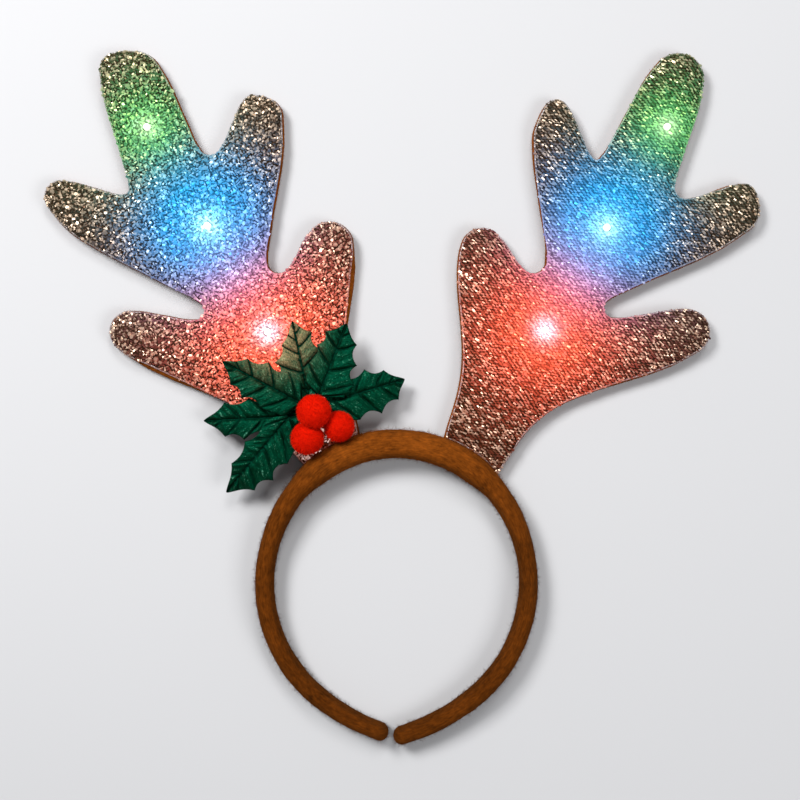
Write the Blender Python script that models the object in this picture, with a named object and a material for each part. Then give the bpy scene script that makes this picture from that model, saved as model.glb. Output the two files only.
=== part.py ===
"""Reindeer antler headband: a padded felt hoop, two glittered antlers with small lamps, holly and pompoms.

The headband lies on its back. +X runs to the right across the antlers, +Y from the hoop's open ends to
the antlers' tips, and +Z off the surface that it lies on. The drawing starts from the middle of the hoop's
top, and one empty at the end carries every piece, so that the object stands centred over its origin.
"""

import math
import random

import bmesh
import bpy
import numpy as np
from mathutils import Vector
from mathutils.geometry import delaunay_2d_cdt

MM = 0.001
CLEARANCE = 0.3 * MM

# Hoop: three arcs down each side of an oval, open at its low ends
HOOP_TOP_RADIUS = 54.0 * MM
HOOP_TOP_SWEEP = math.radians(55.0)
HOOP_SIDE_RADIUS = 62.0 * MM
HOOP_SIDE_SWEEP = math.radians(86.0)
HOOP_LOW_RADIUS = 88.5 * MM
HOOP_END_GAP = 2.3 * MM
HOOP_END_SHIFT = -2.4 * MM
HOOP_THICKNESS = 12.0 * MM
HOOP_DEPTH = 15.0 * MM
HOOP_SQUARENESS = 2.5
HOOP_SIDES = 12
HOOP_STATIONS = 34
HOOP_END_ANGLES = (30.0, 55.0, 78.0)

# Padding along one half of the hoop, from the middle of its top to its end
HOOP_PADDING = (
    # share of the half's length, share of thickness, share of depth
    (0.00, 1.00, 1.00),
    (0.18, 1.00, 1.00),
    (0.29, 0.74, 0.90),
    (0.44, 0.65, 0.82),
    (0.72, 0.66, 0.80),
    (1.00, 0.60, 0.72),
)

# Antlers: felt backs with padding, and a glittered cloth over each front
ANTLER_WIDTH = 132.0 * MM
ANTLER_HEIGHT = 180.0 * MM
RIGHT_SEAT = 33.5 * MM
LEFT_SEAT = 27.3 * MM
EDGE_HEIGHT = 4.5 * MM
CROWN_HEIGHT = 3.5 * MM
CROWN_REACH = 12.0 * MM
BACK_TUCK = 1.0 * MM
FRONT_TUCK = 0.7 * MM
CLOTH_THICKNESS = 1.0 * MM
EDGE_STEP = 6.0 * MM
EDGE_TURN = math.radians(32.0)
STRAIGHT_STEP = 11.0 * MM
INNER_RING = 4.5 * MM
INNER_PITCH = 10.0 * MM
SEAT_STEPS = 5
SEAT_LEAST_SHARE = 0.80
ROOM_STEPS = 120
CROSSING_HALVINGS = 18
TUCK_LEAST_SLOPE_SHARE = 0.6
RING_EDGE_ROOM_SHARE = 0.8
RING_SPACING_SHARE = 0.55
FIELD_EDGE_ROOM_SHARE = 1.6
FIELD_SPACING_SHARE = 0.6

# Rounds of an antler's edge in the order that the edge meets them, from the seat's inner corner up the
# outside. The radius is below zero where the edge is hollow.
RIGHT_ROUNDS = (
    # name, out share of width, up share of height, radius share of width
    ("seat_inner", -0.087, 0.048, 0.010),
    ("seat_outer", 0.076, -0.024, 0.010),
    ("root_sweep", 0.473, -0.108, -0.391),
    ("low_tine", 0.690, 0.317, 0.076),
    ("low_crotch", 0.457, 0.373, -0.029),
    ("outer_tine_under", 0.839, 0.604, 0.086),
    ("outer_tine", 0.868, 0.632, 0.048),
    ("outer_crotch", 0.686, 0.655, -0.033),
    ("top_tine", 0.661, 0.909, 0.086),
    ("top_crotch", 0.400, 0.732, -0.013),
    ("inner_tine", 0.273, 0.830, 0.045),
    ("inner_tine_side", 0.346, 0.765, 0.150),
    ("inner_crotch", 0.200, 0.485, -0.039),
    ("spur", 0.037, 0.510, 0.072),
    ("spur_side", 0.082, 0.466, 0.127),
    ("waist", -0.602, 0.270, -0.573),
)
LEFT_ROUNDS = (
    # name, out share of width, up share of height, radius share of width
    ("seat_inner", -0.076, 0.046, 0.010),
    ("seat_outer", 0.099, -0.008, 0.010),
    ("root_sweep", 0.503, -0.173, -0.445),
    ("low_tine_under", 0.617, 0.321, 0.117),
    ("low_tine", 0.653, 0.300, 0.068),
    ("low_crotch", 0.446, 0.349, -0.027),
    ("outer_tine_under", 0.647, 0.709, 0.314),
    ("outer_tine", 0.873, 0.615, 0.056),
    ("outer_crotch", 0.675, 0.634, -0.016),
    ("top_tine", 0.694, 0.912, 0.060),
    ("top_tine_side", 0.637, 0.893, 0.089),
    ("top_crotch", 0.398, 0.741, -0.035),
    ("inner_tine", 0.258, 0.823, 0.045),
    ("inner_tine_side", 0.230, 0.802, 0.067),
    ("inner_crotch", 0.179, 0.464, -0.035),
    ("spur", 0.017, 0.501, 0.080),
    ("waist", -0.527, 0.244, -0.493),
)

# Lamps: small domes that look out through the cloth
LAMP_RADIUS = 1.5 * MM
LAMP_SEAT_DEPTH = 2.6 * MM
LAMP_PROUD = 0.7 * MM
LAMP_SIDES = 8
LAMP_DOME_REACH_SHARE = 0.75
LAMP_DOME_RISE_SHARE = 0.7
RIGHT_LAMPS = (
    # name, out share of width, up share of height
    ("lamp_right_green", 0.620, 0.793),
    ("lamp_right_blue", 0.429, 0.559),
    ("lamp_right_red", 0.235, 0.321),
)
LEFT_LAMPS = (
    # name, out share of width, up share of height
    ("lamp_left_green", 0.593, 0.774),
    ("lamp_left_blue", 0.402, 0.545),
    ("lamp_left_red", 0.211, 0.298),
)

# Pompoms over the left antler's root
POMPOM_RADIUS = 7.2 * MM
POMPOM_SPACING = 12.0 * MM
POMPOM_FRONT_OUT = 7.7 * MM
POMPOM_FRONT_UP = 20.3 * MM
POMPOM_FRONT_RISE = 2.5 * MM
POMPOM_ROOT_SHARE = 0.90
POMPOM_TUFT_SPREAD = 0.05
POMPOMS = (
    # name, out share of spacing and up share of spacing from the front one, radius share, rise share
    ("pompom_front", 0.00, 0.00, 1.00, 1.0),
    ("pompom_low", 0.24, -0.91, 0.97, 0.0),
    ("pompom_side", -0.84, -0.51, 0.90, 0.0),
)

# Holly: stitched satin leaves that spring from under the front pompom
LEAF_LENGTH = 40.0 * MM
LEAF_HALF_WIDTH = 12.0 * MM
LEAF_THICKNESS = 1.0 * MM
LEAF_PUFF_SHARE = 0.08
LEAF_PUFF_SPOT_SHARE = 0.55
LEAF_SCALLOP_SHARE = 0.42
LEAF_HOLLOW_LEAST_SHARE = 0.075
LEAF_STEM_SHARE = 0.11
LEAF_DROOP = 4.0 * MM
LEAF_DROOP_START_SHARE = 0.45
LEAF_LAYER_GAP = 0.3 * MM
HOLLY_LEAVES = (
    # name, layer, heading in degrees, sideways share of half width, start and reach shares of length,
    # share of the droop
    ("holly_leaf_1", 1, 230.0, -0.57, 0.05, 1.25, 1.0),
    ("holly_leaf_2", 0, 183.0, 0.12, 0.00, 1.18, 0.8),
    ("holly_leaf_3", 1, 152.0, -0.03, 0.00, 1.09, 0.0),
    ("holly_leaf_4", 0, 102.0, 0.13, 0.00, 0.97, 0.0),
    ("holly_leaf_5", 1, 69.0, 0.07, 0.00, 0.97, 0.0),
    ("holly_leaf_6", 0, 17.0, 0.17, 0.00, 0.99, 0.7),
)
# Prickles down the left and the right of each leaf, seen from its stem
HOLLY_PRICKLES = {
    # name: left rows, right rows, each of share of the blade's length and share of half width
    "holly_leaf_1": (((0.37, 1.00), (0.59, 1.00), (0.79, 0.73)), ((0.26, 0.50), (0.47, 0.63), (0.73, 0.50))),
    "holly_leaf_2": (((0.34, 0.50), (0.60, 0.74), (0.79, 0.60)), ((0.28, 0.60), (0.53, 0.72), (0.78, 0.60))),
    "holly_leaf_3": (((0.38, 0.81), (0.62, 0.82), (0.80, 0.60)), ((0.29, 0.76), (0.54, 0.74), (0.77, 0.50))),
    "holly_leaf_4": (((0.33, 0.78), (0.56, 0.80), (0.74, 0.55)), ((0.35, 0.75), (0.60, 0.72), (0.82, 0.60))),
    "holly_leaf_5": (((0.35, 0.62), (0.61, 0.70), (0.81, 0.60)), ((0.27, 0.67), (0.54, 0.84), (0.79, 0.60))),
    "holly_leaf_6": (((0.31, 0.65), (0.57, 0.74), (0.79, 0.52)), ((0.35, 0.90), (0.62, 0.92), (0.86, 0.62))),
}

# Colour, roughness and metallic value of each finish
FINISHES = {
    "brown_felt": ((0.30, 0.13, 0.03, 1.0), 0.95, 0.0),
    "glitter_cloth": ((0.62, 0.55, 0.52, 1.0), 0.35, 0.7),
    "lamp_lens": ((0.95, 0.97, 1.00, 1.0), 0.20, 0.0),
    "holly_satin": ((0.00, 0.14, 0.08, 1.0), 0.45, 0.0),
    "pompom_red": ((0.80, 0.05, 0.01, 1.0), 0.90, 0.0),
}


def clear_scene():
    for item in list(bpy.data.objects):
        bpy.data.objects.remove(item, do_unlink=True)


def finish(name):
    material = bpy.data.materials.get(name)
    if material:
        return material
    colour, roughness, metallic = FINISHES[name]
    material = bpy.data.materials.new(name)
    material.use_nodes = True
    shader = material.node_tree.nodes["Principled BSDF"]
    shader.inputs["Base Color"].default_value = colour
    shader.inputs["Roughness"].default_value = roughness
    shader.inputs["Metallic"].default_value = metallic
    return material


def add_object(name, mesh_builder, finish_name, sharp_degrees=40.0):
    """Make a mesh object from a closed bmesh and give it its finish."""
    bmesh.ops.recalc_face_normals(mesh_builder, faces=mesh_builder.faces)
    mesh = bpy.data.meshes.new(name)
    mesh_builder.to_mesh(mesh)
    mesh_builder.free()
    mesh.shade_smooth()
    mesh.set_sharp_from_angle(angle=math.radians(sharp_degrees))
    mesh.materials.append(finish(finish_name))
    item = bpy.data.objects.new(name, mesh)
    bpy.context.scene.collection.objects.link(item)
    return item


# Hoop

def hoop_point(distance):
    """Centreline place and outward direction at a signed distance from the middle of the hoop's top."""
    side = math.copysign(1.0, distance)
    left = abs(distance)
    x = 0.0
    y = 0.0
    heading = 0.0
    arcs = (
        (HOOP_TOP_RADIUS, HOOP_TOP_SWEEP),
        (HOOP_SIDE_RADIUS, HOOP_SIDE_SWEEP),
        (HOOP_LOW_RADIUS, math.pi),
    )
    for radius, sweep in arcs:
        turned = heading + min(left / radius, sweep)
        x += radius * (math.sin(turned) - math.sin(heading))
        y += radius * (math.cos(turned) - math.cos(heading))
        left -= radius * (turned - heading)
        heading = turned
        if left <= 0.0:
            break
    return Vector((side * x, y)), Vector((side * math.sin(heading), math.cos(heading)))


def hoop_half_length(side):
    """Length of one half, so that its end stops at the gap between the two ends."""
    fixed = HOOP_TOP_RADIUS * HOOP_TOP_SWEEP + HOOP_SIDE_RADIUS * HOOP_SIDE_SWEEP
    corner = hoop_point(fixed)[0]
    heading = HOOP_TOP_SWEEP + HOOP_SIDE_SWEEP
    stop = side * HOOP_END_SHIFT + HOOP_END_GAP / 2
    sine = math.sin(heading) - (corner.x - stop) / HOOP_LOW_RADIUS
    return fixed + HOOP_LOW_RADIUS * (math.pi - math.asin(sine) - heading)


def hoop_padding(distance):
    """Half thickness and half depth of the hoop at a signed distance from the middle of its top."""
    share = min(1.0, abs(distance) / hoop_half_length(math.copysign(1.0, distance)))
    for lower, upper in zip(HOOP_PADDING, HOOP_PADDING[1:]):
        if share <= upper[0]:
            break
    blend = (share - lower[0]) / (upper[0] - lower[0])
    blend = blend * blend * (3.0 - 2.0 * blend)
    thickness = lower[1] + (upper[1] - lower[1]) * blend
    depth = lower[2] + (upper[2] - lower[2]) * blend
    return HOOP_THICKNESS / 2 * thickness, HOOP_DEPTH / 2 * depth


def hoop_stations(side):
    """Signed distances and end-rounding shares down one half, closer together round its end."""
    length = hoop_half_length(side)
    rounding = hoop_padding(side * length)[0]
    plain = length - rounding
    stations = [(side * plain * step / HOOP_STATIONS, 1.0) for step in range(1, HOOP_STATIONS + 1)]
    for angle in HOOP_END_ANGLES:
        turn = math.radians(angle)
        stations.append((side * (plain + rounding * math.sin(turn)), math.cos(turn)))
    return stations


def build_hoop():
    stations = hoop_stations(-1)[::-1] + [(0.0, 1.0)] + hoop_stations(1)
    builder = bmesh.new()
    rings = []
    for distance, rounding in stations:
        centre, outward = hoop_point(distance)
        half_thickness, half_depth = hoop_padding(distance)
        ring = []
        for step in range(HOOP_SIDES):
            angle = 2 * math.pi * step / HOOP_SIDES
            power = 2.0 / HOOP_SQUARENESS
            across = math.copysign(abs(math.cos(angle)) ** power, math.cos(angle))
            lift = math.copysign(abs(math.sin(angle)) ** power, math.sin(angle))
            place = centre + outward * half_thickness * rounding * across
            ring.append(builder.verts.new((place.x, place.y, half_depth * (1.0 + rounding * lift))))
        rings.append(ring)
    for near, far in zip(rings, rings[1:]):
        for step in range(HOOP_SIDES):
            after = (step + 1) % HOOP_SIDES
            builder.faces.new((near[step], near[after], far[after], far[step]))
    builder.faces.new(rings[0])
    builder.faces.new(rings[-1][::-1])
    return add_object("headband", builder, "brown_felt")


# Antlers

def edge_through_rounds(rounds):
    """Closed edge, anticlockwise, that runs straight from each round to the next and turns along it."""
    headings = []
    for index, (_, x, y, radius) in enumerate(rounds):
        _, next_x, next_y, next_radius = rounds[(index + 1) % len(rounds)]
        gap = math.hypot(next_x - x, next_y - y)
        lean = max(-1.0, min(1.0, (radius - next_radius) / gap))
        headings.append(math.atan2(next_y - y, next_x - x) - math.pi / 2 + math.asin(lean))
    edge = []
    for index, (_, x, y, radius) in enumerate(rounds):
        spin = math.copysign(1.0, radius)
        turn = ((headings[index] - headings[index - 1]) * spin) % (2 * math.pi)
        steps = max(1, round(turn * abs(radius) / EDGE_STEP), math.ceil(turn / EDGE_TURN))
        for step in range(steps + 1):
            angle = headings[index - 1] + spin * turn * step / steps
            edge.append(Vector((x + radius * math.cos(angle), y + radius * math.sin(angle))))
    return edge


def split_long_steps(edge):
    """Add points along straight stretches, so that no step of the edge is much longer than STRAIGHT_STEP."""
    finer = []
    for here, after in zip(edge, edge[1:] + edge[:1]):
        steps = max(1, round((after - here).length / STRAIGHT_STEP))
        for step in range(steps):
            finer.append(here.lerp(after, step / steps))
    return finer


def hoop_room(place):
    """How far a place lies outside the hoop's edge and its clearance, and how far along the hoop."""
    half = HOOP_TOP_RADIUS * math.pi / 2
    best = None
    for step in range(-ROOM_STEPS, ROOM_STEPS + 1):
        distance = half * step / ROOM_STEPS
        centre, _ = hoop_point(distance)
        room = (place - centre).length - hoop_padding(distance)[0] - CLEARANCE
        if best is None or room < best[0]:
            best = (room, distance)
    return best


def crossing(outside, inside):
    """The place between two points where an antler's edge meets the hoop."""
    for _ in range(CROSSING_HALVINGS):
        middle = outside.lerp(inside, 0.5)
        if hoop_room(middle)[0] > 0.0:
            outside = middle
        else:
            inside = middle
    return outside


def seat_place(distance, height):
    """Place one clearance off the hoop's rounded side, at a distance along the hoop and a height."""
    centre, outward = hoop_point(distance)
    half_thickness, half_depth = hoop_padding(distance)
    lift = min(1.0, abs(height - half_depth) / half_depth)
    share = (1.0 - lift ** HOOP_SQUARENESS) ** (1.0 / HOOP_SQUARENESS)
    return centre + outward * (half_thickness * max(SEAT_LEAST_SHARE, share) + CLEARANCE)


def seat_on_hoop(edge):
    """Cut an antler's edge along the hoop.

    Gives the edge, and for each point on the seat its distance along the hoop and which way is inwards.
    """
    clear = [hoop_room(place)[0] > 0.0 for place in edge]
    start = next(i for i in range(len(edge)) if clear[i] and not clear[i - 1])
    turned = edge[start:] + edge[:start]
    kept = turned[:sum(clear)]
    leaving = crossing(turned[0], turned[-1])
    arriving = crossing(kept[-1], turned[len(kept)])
    kept = [p for p in kept if min((arriving - p).length, (leaving - p).length) > EDGE_STEP / 2]
    first = hoop_room(arriving)[1]
    last = hoop_room(leaving)[1]
    inward = math.copysign(1.0, last - first)
    seats = {0: (last, -inward), len(kept) + 1: (first, inward)}
    for step in range(1, SEAT_STEPS):
        seats[len(kept) + 1 + step] = (first + (last - first) * step / SEAT_STEPS, 0.0)
    seat = [seat_place(seats[index][0], HOOP_DEPTH / 2) for index in list(seats)[2:]]
    return [leaving] + kept + [arriving] + seat, seats


def edge_at(edge, seats, amount, height):
    """The edge tucked in by an amount at a height, still one clearance off the hoop where it is seated."""
    moved = tucked(edge, amount)
    for index, (distance, inward) in seats.items():
        moved[index] = seat_place(distance + inward * amount, height)
    return moved


def tucked(edge, amount):
    """The edge moved inwards by an amount, with its corners kept."""
    moved = []
    for before, here, after in zip(edge[-1:] + edge[:-1], edge, edge[1:] + edge[:1]):
        along = (here - before).normalized()
        onward = (after - here).normalized()
        inward = Vector((-along.y - onward.y, along.x + onward.x)).normalized()
        slope = max(TUCK_LEAST_SLOPE_SHARE, inward.dot(Vector((-along.y, along.x))))
        moved.append(here + inward * amount / slope)
    return moved


def edge_distance(place, edge):
    """Distance from a place to the nearest stretch of a closed edge."""
    points = np.array([tuple(p) for p in edge])
    steps = np.roll(points, -1, axis=0) - points
    offsets = np.array(tuple(place)) - points
    share = np.clip((offsets * steps).sum(1) / (steps * steps).sum(1), 0.0, 1.0)
    return float(np.sqrt(((offsets - steps * share[:, None]) ** 2).sum(1)).min())


def inside_edge(place, edge):
    """Whether a place lies inside a closed edge."""
    inside = False
    for here, after in zip(edge, edge[1:] + edge[:1]):
        if (here.y > place.y) != (after.y > place.y):
            if place.x < here.x + (place.y - here.y) * (after.x - here.x) / (after.y - here.y):
                inside = not inside
    return inside


def inner_places(edge, holes):
    """Places inside an edge that carry the crown: a ring along the edge, then an even field."""
    places = []

    def add(place, edge_room, spacing):
        clear_of_holes = all((place - centre).length > radius + INNER_RING / 2 for centre, radius in holes)
        apart = all((place - other).length > spacing for other in places)
        if clear_of_holes and apart and inside_edge(place, edge) and edge_distance(place, edge) > edge_room:
            places.append(place)

    for place in tucked(edge, INNER_RING):
        add(place, INNER_RING * RING_EDGE_ROOM_SHARE, INNER_PITCH * RING_SPACING_SHARE)
    low = Vector((min(p.x for p in edge), min(p.y for p in edge)))
    high = Vector((max(p.x for p in edge), max(p.y for p in edge)))
    row_step = INNER_PITCH * math.sqrt(3) / 2
    for row in range(int((high.y - low.y) / row_step) + 1):
        for column in range(int((high.x - low.x) / INNER_PITCH) + 1):
            shift = 0.5 * (row % 2)
            place = low + Vector(((column + shift) * INNER_PITCH, row * row_step))
            add(place, INNER_RING * FIELD_EDGE_ROOM_SHARE, INNER_PITCH * FIELD_SPACING_SHARE)
    return places


def hole_ring(centre, radius):
    """Points of a lamp's round, clockwise, so that its wall faces into the hole."""
    turns = [2 * math.pi * step / LAMP_SIDES for step in range(LAMP_SIDES)]
    return [centre + Vector((radius * math.cos(-turn), radius * math.sin(-turn))) for turn in turns]


def plan_triangles(edge, holes):
    """Triangles over an edge with holes: places, triangles, and the loops of the edge and of each hole."""
    places = list(edge)
    loops = [list(range(len(edge)))]
    for centre, radius in holes:
        loops.append(list(range(len(places), len(places) + LAMP_SIDES)))
        places += hole_ring(centre, radius)
    bounds = [(loop[i - 1], loop[i]) for loop in loops for i in range(len(loop))]
    places += inner_places(edge, holes)
    _, _, faces, origins, _, _ = delaunay_2d_cdt(places, bounds, [], 0, 1e-7)
    number = {new: old[0] for new, old in enumerate(origins) if old}
    triangles = []
    flat_share = math.cos(math.pi / LAMP_SIDES)
    for face in faces:
        corners = [number[i] for i in face]
        centre = sum((places[i] for i in corners), Vector((0.0, 0.0))) / 3
        in_hole = any((centre - middle).length < radius * flat_share for middle, radius in holes)
        if inside_edge(centre, edge) and not in_hole:
            triangles.append(corners)
    return places, triangles, loops


def crown(place, edge):
    """Rise of the padding over an antler's edge height."""
    share = min(1.0, edge_distance(place, edge) / CROWN_REACH)
    return CROWN_HEIGHT * (1.0 - (1.0 - share) ** 2)


def front_height(place, edge):
    """Height of the padded front under the cloth."""
    return EDGE_HEIGHT + crown(place, edge)


def add_wall(builder, lower, upper):
    for index in range(len(lower)):
        builder.faces.new((lower[index - 1], lower[index], upper[index], upper[index - 1]))


def build_antler_back(name, edge, seats, holes, plan):
    """Felt back and padding: flat behind, crowned in front, with a pocket for each lamp."""
    places, triangles, loops = plan
    builder = bmesh.new()
    front = [builder.verts.new((p.x, p.y, front_height(p, edge))) for p in places]
    for corners in triangles:
        builder.faces.new([front[i] for i in corners])
    belly_edge = edge_at(edge, seats, 0.0, EDGE_HEIGHT / 2)
    belly = [builder.verts.new((p.x, p.y, EDGE_HEIGHT / 2)) for p in belly_edge]
    rim = [builder.verts.new((p.x, p.y, 0.0)) for p in edge_at(edge, seats, BACK_TUCK, 0.0)]
    add_wall(builder, belly, [front[i] for i in loops[0]])
    add_wall(builder, rim, belly)
    builder.faces.new(rim[::-1])
    for loop, (centre, radius) in zip(loops[1:], holes):
        floor_height = front_height(centre, edge) - LAMP_SEAT_DEPTH
        floor = [builder.verts.new((places[i].x, places[i].y, floor_height)) for i in loop]
        add_wall(builder, floor, [front[i] for i in loop])
        builder.faces.new(floor[::-1])
    return add_object(name, builder, "brown_felt")


def build_antler_cloth(name, edge, plan):
    """Glittered cloth over the padding, with a hole for each lamp."""
    places, triangles, loops = plan
    builder = bmesh.new()
    sheets = []
    for lift in (CLEARANCE, CLEARANCE + CLOTH_THICKNESS):
        sheets.append([builder.verts.new((p.x, p.y, front_height(p, edge) + lift)) for p in places])
    lower, upper = sheets
    for corners in triangles:
        builder.faces.new([upper[i] for i in corners])
        builder.faces.new([lower[i] for i in reversed(corners)])
    for loop in loops:
        add_wall(builder, [lower[i] for i in loop], [upper[i] for i in loop])
    return add_object(name, builder, "glitter_cloth")


def build_lamp(name, centre, edge):
    """Small domed lens that stands on its pocket's floor."""
    seat = front_height(centre, edge) - LAMP_SEAT_DEPTH + CLEARANCE
    shoulder = front_height(centre, edge) + CLEARANCE + CLOTH_THICKNESS
    profile = (
        (LAMP_RADIUS, seat),
        (LAMP_RADIUS, shoulder),
        (LAMP_RADIUS * LAMP_DOME_REACH_SHARE, shoulder + LAMP_PROUD * LAMP_DOME_RISE_SHARE),
    )
    builder = bmesh.new()
    rings = []
    for radius, height in profile:
        rings.append([builder.verts.new((p.x, p.y, height)) for p in hole_ring(centre, radius)])
    for lower, upper in zip(rings, rings[1:]):
        add_wall(builder, lower, upper)
    builder.faces.new(rings[0])
    crest = builder.verts.new((centre.x, centre.y, shoulder + LAMP_PROUD))
    for index in range(LAMP_SIDES):
        builder.faces.new((rings[-1][index - 1], rings[-1][index], crest))
    return add_object(name, builder, "lamp_lens")


def antler_place(seat, side, out, up):
    """World place of a share of an antler's width and height."""
    anchor = hoop_point(side * seat)[0]
    return anchor + Vector((side * out * ANTLER_WIDTH, up * ANTLER_HEIGHT))


def build_antler(hand, side, seat, rounds, lamps):
    sized = [(n, out * ANTLER_WIDTH, up * ANTLER_HEIGHT, r * ANTLER_WIDTH) for n, out, up, r in rounds]
    anchor = hoop_point(side * seat)[0]
    edge = [anchor + Vector((side * p.x, p.y)) for p in split_long_steps(edge_through_rounds(sized))]
    if side < 0:
        edge.reverse()
    edge, seats = seat_on_hoop(edge)
    centres = [antler_place(seat, side, out, up) for _, out, up in lamps]
    holes = [(centre, LAMP_RADIUS + CLEARANCE) for centre in centres]
    cloth_edge_height = EDGE_HEIGHT + CLEARANCE + CLOTH_THICKNESS
    plan = plan_triangles(edge_at(edge, seats, FRONT_TUCK, cloth_edge_height), holes)
    build_antler_back("antler_" + hand + "_back", edge, seats, holes, plan)
    build_antler_cloth("antler_" + hand + "_cloth", edge, plan)
    for (name, _, _), centre in zip(lamps, centres):
        build_lamp(name, centre, edge)
    return edge


# Pompoms and holly

def cloth_top():
    """Height of the cloth where an antler's padding is full."""
    return EDGE_HEIGHT + CROWN_HEIGHT + CLEARANCE + CLOTH_THICKNESS


def pompom_balls(edge):
    """Name, centre and radius of each pompom, resting on the cloth inside the left antler's edge."""
    anchor = hoop_point(-LEFT_SEAT)[0]
    balls = []
    for name, out, up, radius_share, rise in POMPOMS:
        radius = POMPOM_RADIUS * radius_share
        x = anchor.x - POMPOM_FRONT_OUT - out * POMPOM_SPACING
        y = anchor.y + POMPOM_FRONT_UP + up * POMPOM_SPACING
        rest = front_height(Vector((x, y)), edge) + CLOTH_THICKNESS + 2 * CLEARANCE
        balls.append((name, Vector((x, y, rest + radius + rise * POMPOM_FRONT_RISE)), radius))
    return balls


def build_pompom(name, centre, radius, others, seed):
    """Ball of short tufts, pressed flat where it meets the next ball."""
    chance = random.Random(seed)
    builder = bmesh.new()
    bmesh.ops.create_icosphere(builder, subdivisions=3, radius=1.0)
    roots = set(builder.verts)
    bmesh.ops.poke(builder, faces=builder.faces)
    for vert in builder.verts:
        direction = vert.co.normalized()
        reach = radius * POMPOM_ROOT_SHARE
        if vert not in roots:
            reach = radius * (1.0 - POMPOM_TUFT_SPREAD * chance.random())
        for other_centre, other_radius in others:
            gap = other_centre - centre
            facing = direction.dot(gap.normalized())
            halfway = (gap.length_squared + radius ** 2 - other_radius ** 2) / (2 * gap.length)
            if facing > 0.0:
                reach = min(reach, (halfway - CLEARANCE / 2) / facing)
        vert.co = centre + direction * reach
    return add_object(name, builder, "pompom_red")


def build_pompoms(balls):
    for index, (name, centre, radius) in enumerate(balls):
        others = [(c, r) for other, c, r in balls if other != name]
        build_pompom(name, centre, radius, others, seed=index + 1)


def leaf_height(layer):
    """Height of the middle of a leaf's cloth at its stem."""
    step = LEAF_THICKNESS + LEAF_PUFF_SHARE * LEAF_HALF_WIDTH + LEAF_LAYER_GAP
    return cloth_top() + CLEARANCE + LEAF_THICKNESS / 2 + layer * step


def stem_start(layer, ball):
    """How near to the front pompom's middle a stem can come under the ball."""
    _, centre, radius = ball
    stem_top = leaf_height(layer) + LEAF_THICKNESS / 2 + CLEARANCE * 2
    below = max(0.0, centre.z - POMPOM_FRONT_RISE - stem_top)
    return math.sqrt(max(0.0, radius ** 2 - below ** 2)) + CLEARANCE


def blade_reach(share, prickles):
    """Share of the half width from the rib to the edge: points at the prickles, hollows between them."""
    rows = ((0.0, LEAF_STEM_SHARE),) + prickles + ((1.0, 0.02),)
    for lower, upper in zip(rows, rows[1:]):
        if share <= upper[0]:
            break
    blend = (share - lower[0]) / (upper[0] - lower[0])
    straight = lower[1] + (upper[1] - lower[1]) * blend
    return straight * (1.0 - LEAF_SCALLOP_SHARE * 4.0 * blend * (1.0 - blend))


def blade_stations(left, right):
    """Shares of the blade's length that take in both sides' prickles and the hollows between them."""
    marks = sorted({0.0, 1.0} | {share for share, _ in left} | {share for share, _ in right})
    merged = [marks[0]]
    for mark in marks[1:]:
        if mark - merged[-1] > LEAF_HOLLOW_LEAST_SHARE:
            merged.append((merged[-1] + mark) / 2)
        merged.append(mark)
    return merged


def build_leaf(ball, name, layer, heading, sideways, start_share, reach_share, droop):
    """One spiny leaf: two puffed halves along a sunk rib, drooping past the antler's edge."""
    along = Vector((math.cos(math.radians(heading)), math.sin(math.radians(heading))))
    across = Vector((-along.y, along.x))
    start = stem_start(layer, ball) + start_share * LEAF_LENGTH
    length = reach_share * LEAF_LENGTH - start
    origin = ball[1].xy + across * sideways * LEAF_HALF_WIDTH
    left, right = HOLLY_PRICKLES[name]
    builder = bmesh.new()
    rows = []
    for share in blade_stations(left, right):
        past = max(0.0, share - LEAF_DROOP_START_SHARE) / (1.0 - LEAF_DROOP_START_SHARE)
        fall = past ** 2 * droop * LEAF_DROOP
        left_reach = blade_reach(share, left) * LEAF_HALF_WIDTH
        right_reach = -blade_reach(share, right) * LEAF_HALF_WIDTH
        left_puff = left_reach * LEAF_PUFF_SPOT_SHARE
        right_puff = right_reach * LEAF_PUFF_SPOT_SHARE
        spots = (left_reach, left_puff, 0.0, right_puff, right_reach)
        row = []
        for number, offset in enumerate(spots):
            place = origin + along * (start + length * share) + across * offset
            puff = LEAF_PUFF_SHARE * abs(offset) if number in (1, 3) else 0.0
            height = leaf_height(layer) - fall + puff
            upper = builder.verts.new((place.x, place.y, height + LEAF_THICKNESS / 2))
            lower = builder.verts.new((place.x, place.y, height - LEAF_THICKNESS / 2))
            row.append((upper, lower))
        rows.append(row)
    last = len(rows[0]) - 1
    for near, far in zip(rows, rows[1:]):
        for spot in range(last):
            builder.faces.new((near[spot][0], near[spot + 1][0], far[spot + 1][0], far[spot][0]))
            builder.faces.new((near[spot][1], far[spot][1], far[spot + 1][1], near[spot + 1][1]))
        for spot in (0, last):
            builder.faces.new((near[spot][0], far[spot][0], far[spot][1], near[spot][1]))
    for row in (rows[0], rows[-1]):
        for spot in range(last):
            builder.faces.new((row[spot][0], row[spot][1], row[spot + 1][1], row[spot + 1][0]))
    return add_object(name, builder, "holly_satin", sharp_degrees=60.0)


def centre_on_origin():
    """Carry every piece by one empty, so that the object stands centred on its lowest face."""
    pieces = [item for item in bpy.data.objects if item.type == "MESH"]
    corners = [vert.co for item in pieces for vert in item.data.vertices]
    low = Vector([min(corner[axis] for corner in corners) for axis in range(3)])
    high = Vector([max(corner[axis] for corner in corners) for axis in range(3)])
    carrier = bpy.data.objects.new("headband_carrier", None)
    bpy.context.scene.collection.objects.link(carrier)
    carrier.location = (-(low.x + high.x) / 2, -(low.y + high.y) / 2, -low.z)
    for item in pieces:
        item.parent = carrier


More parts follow.
